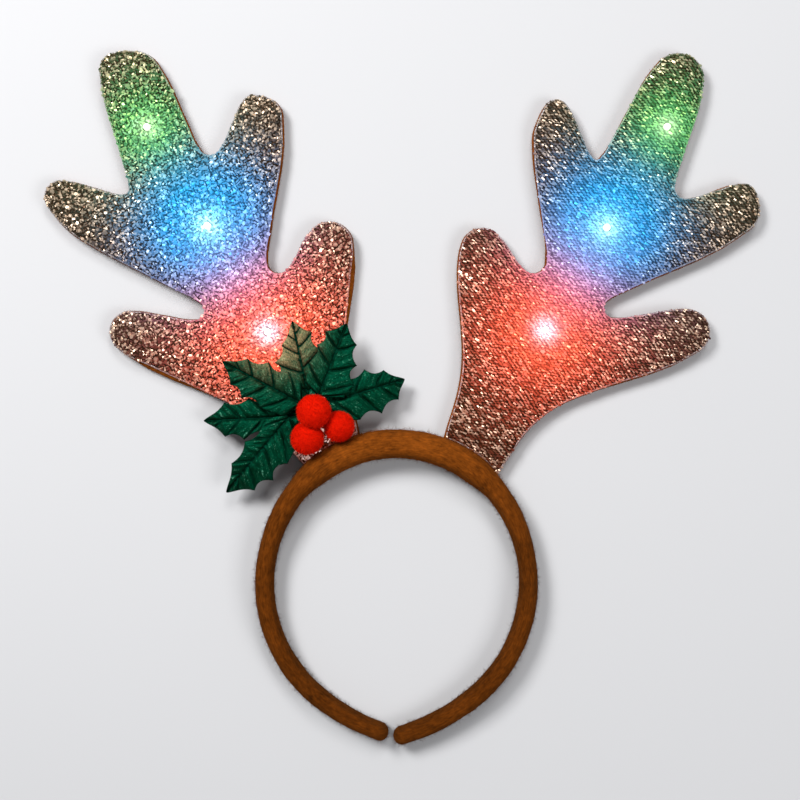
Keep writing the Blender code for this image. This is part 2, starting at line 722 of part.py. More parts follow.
def main():
    clear_scene()
    build_hoop()
    build_antler("right", 1, RIGHT_SEAT, RIGHT_ROUNDS, RIGHT_LAMPS)
    left_edge = build_antler("left", -1, LEFT_SEAT, LEFT_ROUNDS, LEFT_LAMPS)
    balls = pompom_balls(left_edge)
    build_pompoms(balls)
    for leaf in HOLLY_LEAVES:
        build_leaf(balls[0], *leaf)
    centre_on_origin()
    bpy.context.view_layer.update()


main()
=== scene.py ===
"""Looks of the reindeer antler headband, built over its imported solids.

Laid out as a Blender add-on: settings that a user would change, one operator for each group of like
pieces and one for the stage, and a panel that lists them. Lengths are in metres.
"""

import functools
import math

import bmesh
import bpy
import numpy as np
from bpy.props import FloatProperty, FloatVectorProperty, IntProperty, PointerProperty
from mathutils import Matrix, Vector, noise
from mathutils.geometry import delaunay_2d_cdt


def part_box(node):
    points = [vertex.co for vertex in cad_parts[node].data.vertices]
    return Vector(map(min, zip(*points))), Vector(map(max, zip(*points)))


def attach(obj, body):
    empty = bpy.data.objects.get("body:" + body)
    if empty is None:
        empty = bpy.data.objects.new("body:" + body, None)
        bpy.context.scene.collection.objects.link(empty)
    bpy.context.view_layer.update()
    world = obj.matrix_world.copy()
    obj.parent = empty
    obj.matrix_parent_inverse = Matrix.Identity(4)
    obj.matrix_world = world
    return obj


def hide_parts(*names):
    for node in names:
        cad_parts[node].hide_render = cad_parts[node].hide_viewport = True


bl_info = {
    "name": "Reindeer antler headband",
    "version": (1, 0, 0),
    "blender": (4, 5, 0),
    "location": "View3D > Sidebar > Headband",
    "description": "Felt hoop, glittered antlers with lamps, holly and pompoms",
    "category": "Object",
}

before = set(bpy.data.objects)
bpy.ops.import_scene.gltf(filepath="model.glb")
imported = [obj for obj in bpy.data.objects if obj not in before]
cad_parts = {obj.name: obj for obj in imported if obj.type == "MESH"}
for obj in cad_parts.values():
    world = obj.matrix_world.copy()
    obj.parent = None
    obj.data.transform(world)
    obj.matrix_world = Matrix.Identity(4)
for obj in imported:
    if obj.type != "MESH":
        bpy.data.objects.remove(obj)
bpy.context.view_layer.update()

MM = 0.001
HANDS = ("right", "left")
WHITE = (1.0, 1.0, 1.0, 1.0)

# The hoop's line, as the solids have it: three arcs down each side of an oval
HOOP_SHIFT = Vector((-2.288 * MM, -19.727 * MM))
HOOP_ARCS = (
    # radius, sweep
    (54.0 * MM, math.radians(55.0)),
    (62.0 * MM, math.radians(86.0)),
    (88.5 * MM, math.pi),
)
HOOP_END_GAP = 2.3 * MM
HOOP_END_SHIFT = -2.4 * MM
HOOP_THICKNESS = 12.0 * MM
HOOP_DEPTH = 15.0 * MM
HOOP_SQUARENESS = 2.5
HOOP_PADDING = (
    # share of the half's length, share of thickness, share of depth
    (0.00, 1.00, 1.00),
    (0.18, 1.00, 1.00),
    (0.29, 0.74, 0.90),
    (0.44, 0.65, 0.82),
    (0.72, 0.66, 0.80),
    (1.00, 0.60, 0.72),
)

# Middle of each lamp and the tint of its lens
LAMPS = {
    # name: x, y in millimetres, tint
    "right_green": (110.94, 112.95, (0.70, 1.0, 0.62)),
    "right_blue": (85.73, 70.83, (0.80, 0.97, 1.0)),
    "right_red": (60.12, 27.99, (1.0, 0.85, 0.93)),
    "left_green": (-106.72, 112.84, (0.70, 1.0, 0.62)),
    "left_blue": (-81.50, 71.62, (0.80, 0.97, 1.0)),
    "left_red": (-56.29, 27.16, (1.0, 0.85, 0.93)),
}
# Light of each lamp in the cloth round it
GLOWS = {
    # kind: reach in millimetres, shape, colour, reach of the hot middle, its colour
    "green": (17.0, 1.5, (0.06, 0.52, 0.13), 4.0, (0.78, 0.92, 0.56)),
    "blue": (28.5, 2.6, (0.012, 0.43, 1.10), 4.6, (0.75, 1.50, 0.90)),
    "red": (28.5, 2.0, (1.42, 0.150, 0.060), 3.6, (0.40, 1.60, 2.05)),
}
# Tint that the glow gives the cloth's and foil's own colour, and its faint stray light further out
GLOW_TINTS = {"green": (0.36, 0.84, 0.28), "blue": (0.02, 0.40, 0.85), "red": (0.92, 0.32, 0.22)}
STRAY_GLOWS = {
    # kind: reach in millimetres, colour
    "green": (50.0, (0.016, 0.050, 0.018)),
    "blue": (55.0, (0.005, 0.035, 0.050)),
    "red": (64.0, (0.125, 0.011, 0.001)),
}

# How the glow spreads over an antler's glitter: its share in the gaps between stitches, how evenly the
# foil takes it up close to a lamp, and the brightness of the flashes
GLITTER_GLOWS = {"right": (0.28, 0.45, 0.36), "left": (0.17, 0.24, 0.68)}
HOT_FADE = 1.35
STRAY_FADE = 2.0
TINT_GAIN = 1.35
# Daylight on the foil at the left root, between the pompoms: x, y and reach in millimetres, colour
ROOT_GLINT = (-33.0, -17.0, 13.0, (1.05, 0.86, 0.82))
# Middle and reach of the red lamp's warm light on the leaves beside it, in millimetres
WARM_WASH = (-53.29, 27.16, 12.0, 15.5)

POMPOMS = {
    # name: middle x, y, z and radius in millimetres
    "pompom_front": (-36.14, -6.18, 19.30, 7.20),
    "pompom_low": (-39.02, -17.10, 16.04, 6.98),
    "pompom_side": (-26.06, -12.30, 15.08, 6.48),
}

HOLLY_LEAVES = {
    # name: stem's x, y and z, heading in degrees, length, droop of the tip
    "holly_leaf_1": (-46.96, -8.43, 12.36, 230.0, 41.32, 4.0),
    "holly_leaf_2": (-40.88, -7.87, 10.10, 183.0, 42.37, 3.2),
    "holly_leaf_3": (-41.87, -2.73, 12.36, 152.0, 36.92, 0.0),
    "holly_leaf_4": (-38.67, -1.79, 10.10, 102.0, 33.97, 0.0),
    "holly_leaf_5": (-34.53, 0.35, 12.36, 69.0, 32.12, 0.0),
    "holly_leaf_6": (-32.12, -2.82, 10.10, 17.0, 34.77, 2.8),
}
HOLLY_PRICKLES = {
    # name: left rows, then right rows, each of share of the blade's length and share of half width
    "holly_leaf_1": (((0.37, 1.00), (0.59, 1.00), (0.79, 0.73)),
                     ((0.26, 0.50), (0.47, 0.63), (0.73, 0.50))),
    "holly_leaf_2": (((0.34, 0.50), (0.60, 0.74), (0.79, 0.60)),
                     ((0.28, 0.60), (0.53, 0.72), (0.78, 0.60))),
    "holly_leaf_3": (((0.38, 0.81), (0.62, 0.82), (0.80, 0.60)),
                     ((0.29, 0.76), (0.54, 0.74), (0.77, 0.50))),
    "holly_leaf_4": (((0.37, 0.98), (0.546, 0.92), (0.74, 0.55)),
                     ((0.35, 0.85), (0.60, 0.74), (0.82, 0.60))),
    "holly_leaf_5": (((0.35, 0.74), (0.61, 0.71), (0.81, 0.60)),
                     ((0.30, 1.00), (0.54, 0.86), (0.79, 0.60))),
    "holly_leaf_6": (((0.31, 0.65), (0.57, 0.74), (0.79, 0.52)),
                     ((0.35, 0.90), (0.62, 0.92), (0.86, 0.62))),
}


# Settings

class BandSettings(bpy.types.PropertyGroup):
    felt: FloatVectorProperty(
        name="Felt colour", description="Colour of the brushed felt", subtype="COLOR",
        default=(0.185, 0.046, 0.0040), min=0.0, max=1.0)
    unevenness: FloatProperty(
        name="Unevenness", description="How far the padding swells and sinks", subtype="DISTANCE",
        unit="LENGTH", default=0.28 * MM, min=0.0)
    seam_depth: FloatProperty(
        name="Seam depth", description="Depth of the crease where the felt sleeve is sewn",
        subtype="DISTANCE", unit="LENGTH", default=0.45 * MM, min=0.0)
    fibre_length: FloatProperty(
        name="Fibre length", description="Length of the felt's loose fibres", subtype="DISTANCE",
        unit="LENGTH", default=2.2 * MM, min=0.0)
    fibres: FloatProperty(
        name="Fibres", description="Loose fibres on each square metre of felt", default=1.05e6, min=0.0)


class AntlerSettings(bpy.types.PropertyGroup):
    backing: FloatVectorProperty(
        name="Cloth colour", description="Colour of the cloth between the glitter stitches",
        subtype="COLOR", default=(0.032, 0.014, 0.005), min=0.0, max=1.0)
    foil: FloatVectorProperty(
        name="Foil colour", description="Colour of the foil in the glitter stitches", subtype="COLOR",
        default=(0.575, 0.425, 0.31), min=0.0, max=1.0)
    copper: FloatVectorProperty(
        name="Copper colour", description="Colour of the darker foil among the stitches",
        subtype="COLOR", default=(0.130, 0.062, 0.034), min=0.0, max=1.0)
    stitch_pitch: FloatProperty(
        name="Stitch pitch", description="Distance between stitches in a row", subtype="DISTANCE",
        unit="LENGTH", default=1.66 * MM, min=0.2 * MM)
    row_pitch: FloatProperty(
        name="Row pitch", description="Distance between rows of stitches", subtype="DISTANCE",
        unit="LENGTH", default=1.12 * MM, min=0.2 * MM)
    stitch_length: FloatProperty(
        name="Stitch length", description="Length of one foil stitch", subtype="DISTANCE",
        unit="LENGTH", default=1.75 * MM, min=0.1 * MM)
    stitch_width: FloatProperty(
        name="Stitch width", description="Width of one foil stitch", subtype="DISTANCE",
        unit="LENGTH", default=0.74 * MM, min=0.1 * MM)
    glow: FloatProperty(
        name="Glow", description="Brightness of the lamps' light in the cloth", default=1.0, min=0.0)


class HollySettings(bpy.types.PropertyGroup):
    satin: FloatVectorProperty(
        name="Satin colour", description="Colour of the leaves", subtype="COLOR",
        default=(0.0003, 0.0100, 0.0034), min=0.0, max=1.0)
    half_width: FloatProperty(
        name="Half width", description="Width of a leaf from its rib to its widest prickle",
        subtype="DISTANCE", unit="LENGTH", default=12.0 * MM, min=1.0 * MM)
    puff: FloatProperty(
        name="Puff", description="Rise of the leaf between its pressed veins", subtype="DISTANCE",
        unit="LENGTH", default=1.5 * MM, min=0.0)


class PompomSettings(bpy.types.PropertyGroup):
    yarn: FloatVectorProperty(
        name="Yarn colour", description="Colour of the pompoms", subtype="COLOR",
        default=(0.75, 0.0098, 0.0006), min=0.0, max=1.0)
    tuft_length: FloatProperty(
        name="Tuft length", description="Length of the cut yarn ends", subtype="DISTANCE",
        unit="LENGTH", default=1.1 * MM, min=0.1 * MM)
    tufts: FloatProperty(
        name="Tufts", description="Yarn ends on each square metre of a pompom", default=1.1e7, min=0.0)


class StageSettings(bpy.types.PropertyGroup):
    floor: FloatVectorProperty(
        name="Floor colour", description="Colour of the plain floor", subtype="COLOR",
        default=(0.60, 0.60, 0.61), min=0.0, max=1.0)
    distance: FloatProperty(
        name="Camera distance", description="Height of the camera over the antlers' fronts",
        subtype="DISTANCE", unit="LENGTH", default=0.50, min=0.1)
    view_width: FloatProperty(
        name="View width", description="Width that the camera takes in at the antlers' fronts",
        subtype="DISTANCE", unit="LENGTH", default=0.336, min=0.05)


# Nodes

class Value:
    """A number socket. An expression on values adds its Math nodes."""

    def __init__(self, nodes, socket):
        self.nodes = nodes
        self.socket = socket

    def maths(self, operation, *others):
        inputs = dict(enumerate((self, *others)))
        node = self.nodes.node("ShaderNodeMath", {"operation": operation}, inputs)
        return Value(self.nodes, node.outputs[0])

    def __add__(self, other):
        return self.maths("ADD", other)

    def __sub__(self, other):
        return self.maths("SUBTRACT", other)

    def __rsub__(self, other):
        return (self * -1.0).maths("ADD", other)

    def __mul__(self, other):
        return self.maths("MULTIPLY", other)

    def __truediv__(self, other):
        return self.maths("DIVIDE", other)

    def __rtruediv__(self, other):
        return (self ** -1.0) * other

    def __pow__(self, other):
        return self.maths("POWER", other)

    __radd__ = __add__
    __rmul__ = __mul__

    def held(self):
        """The value kept between 0 and 1."""
        return self.maths("MAXIMUM", 0.0).maths("MINIMUM", 1.0)


class Nodes:
    """A node tree, with one way of adding a node."""

    def __init__(self, tree):
        self.tree = tree

    def node(self, kind, settings=None, inputs=None):
        made = self.tree.nodes.new(kind)
        for key, value in (settings or {}).items():
            if key == "stops":
                self.set_stops(made.color_ramp, value)
            else:
                setattr(made, key, value)
        for key, value in (inputs or {}).items():
            self.feed(made.inputs[key], value)
        return made

    def feed(self, socket, value):
        if isinstance(value, Value):
            value = value.socket
        if isinstance(value, bpy.types.NodeSocket):
            self.tree.links.new(value, socket)
        else:
            socket.default_value = value

    @staticmethod
    def set_stops(ramp, stops):
        while len(ramp.elements) < len(stops):
            ramp.elements.new(0.5)
        for element, (place, colour) in zip(ramp.elements, stops):
            element.position = place
            element.color = (*colour, 1.0)

    def value(self, kind, settings=None, inputs=None, output=0):
        return Value(self, self.node(kind, settings, inputs).outputs[output])

    def vector(self, operation, *parts):
        made = self.node("ShaderNodeVectorMath", {"operation": operation}, dict(enumerate(parts)))
        return made.outputs[0]

    def scaled(self, colour, amount):
        made = self.node("ShaderNodeVectorMath", {"operation": "SCALE"}, {0: colour, "Scale": amount})
        return made.outputs[0]


class Finish(Nodes):
    """One procedural material. Constants are set on the shader's own sockets."""

    def __init__(self, name, **constants):
        self.material = bpy.data.materials.new(name)
        self.material.use_nodes = True
        super().__init__(self.material.node_tree)
        self.shader = self.tree.nodes["Principled BSDF"]
        for key, value in constants.items():
            self.shader.inputs[key.replace("_", " ")].default_value = value
        self.place = self.node("ShaderNodeTexCoord").outputs["Object"]

    def set(self, name, value):
        self.feed(self.shader.inputs[name], value)

    def grain(self, scale, stretch=(1.0, 1.0, 1.0), detail=2.0, roughness=0.5, at=None):
        """Noise from 0 to 1 at a number of waves to a metre."""
        place = self.node("ShaderNodeMapping", None, {"Vector": at or self.place, "Scale": stretch})
        inputs = {"Vector": place.outputs[0], "Scale": scale, "Detail": detail, "Roughness": roughness}
        return self.value("ShaderNodeTexNoise", None, inputs)

    def blend(self, share, first, second):
        made = self.node("ShaderNodeMix", {"data_type": "RGBA"}, {0: share, 6: first, 7: second})
        return made.outputs[2]

    def ramp(self, share, *stops):
        return self.node("ShaderNodeValToRGB", {"stops": stops}, {0: share}).outputs[0]

    def bump(self, height, depth, strength=1.0):
        """Relief of a depth in metres from a height between 0 and 1."""
        inputs = {"Height": height, "Distance": depth, "Strength": strength}
        self.set("Normal", self.node("ShaderNodeBump", None, inputs).outputs[0])

    def attribute(self, name, output="Fac"):
        return self.node("ShaderNodeAttribute", {"attribute_name": name}).outputs[output]

    def span_from(self, x, y, z=None):
        """Distance from a place given in millimetres, in plan if it has no height."""
        here = self.vector("MULTIPLY", self.place, (1.0, 1.0, 0.0)) if z is None else self.place
        inputs = {0: here, 1: (x * MM, y * MM, (z or 0.0) * MM)}
        return self.value("ShaderNodeVectorMath", {"operation": "DISTANCE"}, inputs, output=1)

    @staticmethod
    def fade(span, reach, power):
        """Share of a light that is left at a distance. The reach is in millimetres."""
        return (((span / (reach * MM)) ** power) * -1.0).maths("EXPONENT")

    def lamp_glow(self, hand):
        """Light of an antler's lamps in its cloth, the faint light beyond, its amount and its tint."""
        colour = faint = (0.0, 0.0, 0.0)
        tint = (1.0, 1.0, 1.0)
        total = 0.0
        for kind, (reach, shape, glow, hot_reach, hot_glow) in GLOWS.items():
            x, y = LAMPS[f"{hand}_{kind}"][:2]
            span = self.span_from(x, y)
            wide = self.fade(span, reach, shape)
            hot = self.fade(span, hot_reach, HOT_FADE)
            part = self.vector("ADD", self.scaled(glow, wide), self.scaled(hot_glow, hot))
            colour = self.vector("ADD", colour, part)
            tinted = self.blend((wide * TINT_GAIN).held(), WHITE, (*GLOW_TINTS[kind], 1.0))
            tint = self.vector("MULTIPLY", tint, tinted)
            total = wide + total
            stray_reach, stray_glow = STRAY_GLOWS[kind]
            stray = self.fade(span, stray_reach, STRAY_FADE) * (1.0 - total).held()
            faint = self.vector("ADD", faint, self.scaled(stray_glow, stray))
        return colour, faint, total.held(), tint


class Pattern(Nodes):
    """A Geometry Nodes tree with named inputs, made into a plain mesh over a source piece."""

    def __init__(self, name, inputs):
        super().__init__(bpy.data.node_groups.new(name, "GeometryNodeTree"))
        face = self.tree.interface
        face.new_socket("Geometry", in_out="INPUT", socket_type="NodeSocketGeometry")
        for label, kind, value in inputs:
            socket = face.new_socket(label, in_out="INPUT", socket_type="NodeSocket" + kind)
            if value is not None:
                socket.default_value = value
        face.new_socket("Geometry", in_out="OUTPUT", socket_type="NodeSocketGeometry")
        self.given = self.tree.nodes.new("NodeGroupInput").outputs
        self.result = self.tree.nodes.new("NodeGroupOutput").inputs[0]

    def number(self, name):
        return Value(self, self.given[name])

    def random(self, low, high, seed):
        """A random number for each element, fixed by a seed."""
        settings = {"data_type": "FLOAT"}
        return self.value("FunctionNodeRandomValue", settings, {2: low, 3: high, 8: seed}, output=1)

    def random_vector(self, low, high, seed):
        settings = {"data_type": "FLOAT_VECTOR"}
        return self.node("FunctionNodeRandomValue", settings, {0: low, 1: high, 8: seed}).outputs[0]

    def joined(self, x, y, z):
        return self.node("ShaderNodeCombineXYZ", None, {0: x, 1: y, 2: z}).outputs[0]

    def parts(self, vector):
        return [Value(self, part) for part in self.node("ShaderNodeSeparateXYZ", None, {0: vector}).outputs]

    def named(self, name, kind="FLOAT"):
        return self.node("GeometryNodeInputNamedAttribute", {"data_type": kind}, {"Name": name}).outputs[0]

    def stored(self, instances, name, value):
        """The instances, with a number stored on each."""
        settings = {"data_type": "FLOAT", "domain": "INSTANCE"}
        inputs = {0: instances, "Name": name, "Value": value}
        return self.node("GeometryNodeStoreNamedAttribute", settings, inputs).outputs[0]

    def moved(self, points, name, place):
        """The points at a Position or shifted by an Offset."""
        return self.node("GeometryNodeSetPosition", None, {0: points, name: place}).outputs[0]

    def shifted(self, instances, offset):
        inputs = {0: instances, "Translation": offset, "Local Space": False}
        return self.node("GeometryNodeTranslateInstances", None, inputs).outputs[0]

    def stood_on(self, direction):
        """A turn that points Z in a direction."""
        inputs = {"Vector": direction}
        return self.node("FunctionNodeAlignRotationToVector", {"axis": "Z"}, inputs).outputs[0]

    def cone(self, **inputs):
        named = {key.replace("_", " "): value for key, value in inputs.items()}
        return self.node("GeometryNodeMeshCone", {"fill_type": "NGON"}, named).outputs[0]

    def copies(self, points, shape, turn, scale):
        inputs = {"Points": points, "Instance": shape, "Rotation": turn, "Scale": scale}
        return self.node("GeometryNodeInstanceOnPoints", None, inputs).outputs[0]

    def finish_with(self, instances, after=None):
        """Real copies of the instances, bent if asked, in the given finish."""
        real = self.node("GeometryNodeRealizeInstances", None, {0: instances}).outputs[0]
        if after:
            real = after(real)
        dressed = self.node("GeometryNodeSetMaterial", None, {0: real, "Material": self.given["Finish"]})
        self.feed(self.result, dressed.outputs[0])

    def mesh_over(self, source, piece_name, values):
        """The plain mesh that this pattern makes over a source piece, as a new piece."""
        carrier = bpy.data.objects.new(piece_name + "_source", source.data)
        bpy.context.scene.collection.objects.link(carrier)
        modifier = carrier.modifiers.new(self.tree.name, "NODES")
        modifier.node_group = self.tree
        for item in self.tree.interface.items_tree:
            if item.in_out == "INPUT" and item.name in values:
                modifier[item.identifier] = values[item.name]
        bpy.context.view_layer.update()
        ready = bpy.context.evaluated_depsgraph_get()
        mesh = bpy.data.meshes.new_from_object(
            carrier.evaluated_get(ready), preserve_all_data_layers=True, depsgraph=ready)
        bpy.data.objects.remove(carrier)
        mesh.name = piece_name
        return link_piece(piece_name, mesh)


# Shapes

FRONT_SLOPE = 0.5
BACK_SLOPE = -0.7
BELLY_LEVELS = (2.0 * MM, 2.5 * MM)
RING_SPLITS = 5
CORNER_ANGLE = math.radians(44.0)
PLACES_AT_ONCE = 400


def link_piece(name, mesh):
    piece = bpy.data.objects.new(name, mesh)
    bpy.context.scene.collection.objects.link(piece)
    return piece


def piece_from(name, places, faces, finish):
    """A smooth piece from places and faces, with its faces pointing out."""
    mesh = bpy.data.meshes.new(name)
    mesh.from_pydata([tuple(place) for place in places], [], [list(face) for face in faces])
    builder = bmesh.new()
    builder.from_mesh(mesh)
    bmesh.ops.recalc_face_normals(builder, faces=builder.faces)
    builder.to_mesh(mesh)
    builder.free()
    mesh.polygons.foreach_set("use_smooth", [True] * len(mesh.polygons))
    mesh.materials.append(finish.material)
    return link_piece(name, mesh)


def keep(piece, slot, *nodes):
    """The finished piece rides on the one body and takes the place of any solids named."""
    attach(piece, "root")
    if nodes:
        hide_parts(*nodes)


def times(colour, share):
    """A colour made darker or brighter."""
    return tuple(min(1.0, part * share) for part in colour)


def ring_faces(rows, count, closed=False):
    """Faces between rings of places in rows, and from the last ring to the first if closed."""
    faces = []
    for row in range(rows if closed else rows - 1):
        upper = (row + 1) % rows * count
        for step in range(count):
            after = (step + 1) % count
            faces.append((row * count + step, row * count + after, upper + after, upper + step))
    return faces


def end_caps(rows, count):
    """One face over the first ring and one over the last."""
    return [range(count), range(rows * count - 1, (rows - 1) * count - 1, -1)]


def turns_round(sides):
    """Equal steps once round, in radians."""
    return [2 * math.pi * step / sides for step in range(sides)]


def rows_beside(share, rows):
    """The rows of a table on both sides of a share, and how far the share is from one to the other."""
    for lower, upper in zip(rows, rows[1:]):
        if share <= upper[0]:
            break
    return lower, upper, (share - lower[0]) / (upper[0] - lower[0])


def eased(share):
    return share * share * (3.0 - 2.0 * share)


def lumps(place, waves):
    """Unevenness at a place, from the scale and height of each wave."""
    return sum(noise.noise(place * scale) * height for scale, height in waves)


def set_attribute(piece, name, kind, values):
    made = piece.data.attributes.new(name, kind, "POINT")
    key = "vector" if kind == "FLOAT_VECTOR" else "value"
    made.data.foreach_set(key, np.asarray(values, np.float32).ravel())


def loops_between(node, belongs):
    """Closed loops of places along a solid's edges that pass a test, the longest first."""
    builder = bmesh.new()
    builder.from_mesh(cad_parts[node].data)
    bmesh.ops.remove_doubles(builder, verts=builder.verts, dist=1e-6)
    builder.normal_update()
    nexts = {}
    for edge in builder.edges:
        if len(edge.link_faces) == 2 and belongs(edge):
            for vert, other in (edge.verts, reversed(edge.verts)):
                nexts.setdefault(vert, []).append(other)
    loops = []
    while nexts:
        here = next(iter(nexts))
        loop = []
        while here is not None:
            loop.append(here)
            others = nexts.pop(here)
            here = next((other for other in others if other in nexts), None)
        loops.append(np.array([tuple(vert.co) for vert in loop]))
    builder.free()
    return sorted(loops, key=len, reverse=True)


def turned_left(ring):
    """The ring anticlockwise, seen from above."""
    x, y = ring[:, 0], ring[:, 1]
    area = (x * np.roll(y, -1) - np.roll(x, -1) * y).sum()
    return ring if area > 0.0 else ring[::-1]


def nearest_on(ring, places):
    """For each place, the place on a closed ring that is nearest in plan."""
    along = np.roll(ring, -1, axis=0) - ring
    length = (along[:, :2] ** 2).sum(1)
    offset = places[:, None, :2] - ring[None, :, :2]
    share = np.clip((offset * along[:, :2]).sum(2) / length, 0.0, 1.0)
    spans = ((offset - along[:, :2] * share[..., None]) ** 2).sum(2)
    pick = spans.argmin(1)
    row = np.arange(len(places))
    return ring[pick] + along[pick] * share[row, pick][:, None]


def smooth_ring(ring):
    """A closed smooth curve through a ring's places, which keeps its corners."""
    onward = np.roll(ring, -1, axis=0) - ring
    step = np.linalg.norm(onward, axis=1)[:, None]
    onward = onward / step
    before = np.roll(onward, 1, axis=0)
    step_before = np.roll(step, 1, axis=0)
    middle = (before * step + onward * step_before) / (step + step_before)
    corner = (before * onward).sum(1)[:, None] < math.cos(CORNER_ANGLE)
    leaving = np.where(corner, onward, middle) * step
    arriving = np.roll(np.where(corner, before, middle), -1, axis=0) * step
    after = np.roll(ring, -1, axis=0)
    curve = []
    for t in np.arange(RING_SPLITS) / RING_SPLITS:
        curve.append(
            ring * (2 * t ** 3 - 3 * t ** 2 + 1) + leaving * (t ** 3 - 2 * t ** 2 + t)
            + after * (3 * t ** 2 - 2 * t ** 3) + arriving * (t ** 3 - t ** 2))
    return np.stack(curve, axis=1).reshape(-1, 3)


def edge_spans(places, ring):
    """Distance in plan from each place to a closed ring, some places at a time to save memory."""
    groups = np.array_split(places[:, :2], len(places) // PLACES_AT_ONCE + 1)
    offsets = np.concatenate([group - nearest_on(ring[:, :2], group) for group in groups])
    return np.linalg.norm(offsets, axis=1)


def inside_ring(places, ring):
    """Which places lie inside a closed ring, seen from above."""
    inside = np.zeros(len(places), bool)
    for here, after in zip(ring, np.roll(ring, -1, axis=0)):
        crosses = (here[1] > places[:, 1]) != (after[1] > places[:, 1])
        rise = after[1] - here[1]
        if rise:
            at = here[0] + (places[:, 1] - here[1]) * (after[0] - here[0]) / rise
            inside ^= crosses & (places[:, 0] < at)
    return inside


def is_wall(face):
    return BACK_SLOPE < face.normal.z < FRONT_SLOPE


def front_edge(edge):
    """Whether an edge lies between an upward face and a wall."""
    low, high = sorted(edge.link_faces, key=lambda face: face.normal.z)
    return high.normal.z > FRONT_SLOPE and is_wall(low)


def back_edge(edge):
    low, high = sorted(edge.link_faces, key=lambda face: face.normal.z)
    return low.normal.z < BACK_SLOPE and is_wall(high)


def belly_edge(edge):
    """Whether an edge runs round the widest level of an antler's felt."""
    low, high = BELLY_LEVELS
    return all(map(is_wall, edge.link_faces)) and all(low < vert.co.z < high for vert in edge.verts)


# Finishes

def felt_finish(name, colour, lay="", shaded=False):
    """Brushed felt: matted fibres of uneven tone with streaks along their lay, lighter on the ridges and
    darker in the hollows of that relief as painted light and shade.
    """
    felt = Finish(name, Roughness=0.98, Specular_IOR_Level=0.03, Sheen_Weight=0.06, Sheen_Roughness=0.6,
                  Sheen_Tint=(1.0, 0.40, 0.08, 1.0))
    at = felt.node("ShaderNodeUVMap", {"uv_map": lay}).outputs[0] if lay else felt.place
    streaks = felt.grain(1500.0, (0.20, 1.0, 1.0), 3.0, 0.65, at)
    matting = felt.grain(420.0, (0.7, 1.0, 1.0), 4.0, 0.6, at)
    wear = felt.grain(60.0)
    tone = (streaks * 0.74 + matting * 0.64 + wear * 0.36 - 0.38).held()
    # Painted light and shade: the ramp brightens the felt where its relief rises and darkens it where it
    # sinks
    shade = felt.ramp(tone, (0.22, times(colour, 0.34)), (0.50, colour), (0.84, times(colour, 1.9)))
    # Where asked, the colour is scaled by the piece's stored painted shade
    if shaded:
        shade = felt.scaled(shade, Value(felt, felt.attribute("shade")))
    felt.set("Base Color", shade)
    felt.bump((streaks * 0.6 + matting * 0.8).held(), 0.00032, 0.9)
    return felt


def cloth_finish(hand, settings):
    """Dark knitted cloth behind the stitches, lit through by the lamps."""
    cloth = Finish("glitter_backing_" + hand, Roughness=0.7, Specular_IOR_Level=0.05, Emission_Strength=1.0)
    knit = cloth.value("ShaderNodeTexVoronoi", {"feature": "F1"},
                       {"Vector": cloth.place, "Scale": 1150.0, "Randomness": 0.8})
    drift = cloth.grain(260.0, detail=3.0)
    tone = (knit * 0.8 + drift * 0.5 - 0.1).held()
    base = settings.backing
    own = cloth.ramp(tone, (0.15, times(base, 2.2)), (0.45, base), (0.85, times(base, 0.25)))
    colour, faint, total, tint = cloth.lamp_glow(hand)
    cloth.set("Base Color", cloth.vector("MULTIPLY", own, tint))
    gap_share = GLITTER_GLOWS[hand][0]
    lit = cloth.scaled(colour, (total * 0.58 + gap_share - tone * 0.54).held() * settings.glow)
    beyond = cloth.scaled(faint, (1.0 - tone) * (0.6 * settings.glow))
    cloth.set("Emission Color", cloth.vector("ADD", lit, beyond))
    cloth.bump(1.0 - tone, 0.00035)
    return cloth


def foil_finish(hand, settings):
    """Foil stitches: silver, rose and copper strips, lit in the lamps' colours by painted glow, with
    painted flashes.
    """
    foil = Finish("foil_stitches_" + hand, Metallic=0.75, Specular_IOR_Level=0.4, Emission_Strength=1.0)
    sparkle = Value(foil, foil.attribute("sparkle"))
    shade = Value(foil, foil.attribute("shade"))
    patch = foil.grain(90.0, detail=2.0)
    tone = (shade * 0.90 + patch * 0.24 - 0.10).held()
    colour, faint, total, tint = foil.lamp_glow(hand)
    own = foil.ramp(tone, (0.10, times(settings.copper, 0.30)), (0.42, settings.copper),
                    (0.66, settings.foil), (0.95, times(settings.foil, 1.35)))
    foil.set("Base Color", foil.vector("MULTIPLY", own, tint))
    foil.set("Roughness", 0.52 - shade * 0.16)
    glitter = foil.grain(1500.0, detail=1.0)
    _, evenness, flashes = GLITTER_GLOWS[hand]
    spark = (sparkle * 0.75 + glitter * 1.2) * (1.15 - total * evenness * 0.9) + total * evenness - 0.12
    lit = foil.scaled(foil.vector("ADD", colour, faint), spark.held() * (1.05 * settings.glow))
    # Painted flashes: pale glints on the brightest stitches, strongest near the lamps
    flash = ((sparkle * 0.75 + glitter * 0.5) ** 5.0) * (flashes * settings.glow)
    pale = foil.vector("ADD", foil.scaled(colour, 0.55), foil.scaled((0.42, 0.42, 0.42), total))
    lit = foil.vector("ADD", lit, foil.scaled(pale, flash))
    # Painted glints on the foil at the left root
    if hand == "left":
        x, y, reach, glint = ROOT_GLINT
        near = foil.fade(foil.span_from(x, y), reach, 4.0)
        lit = foil.vector("ADD", lit, foil.scaled(glint, near * (sparkle ** 4.0)))
    foil.set("Emission Color", lit)
    return foil


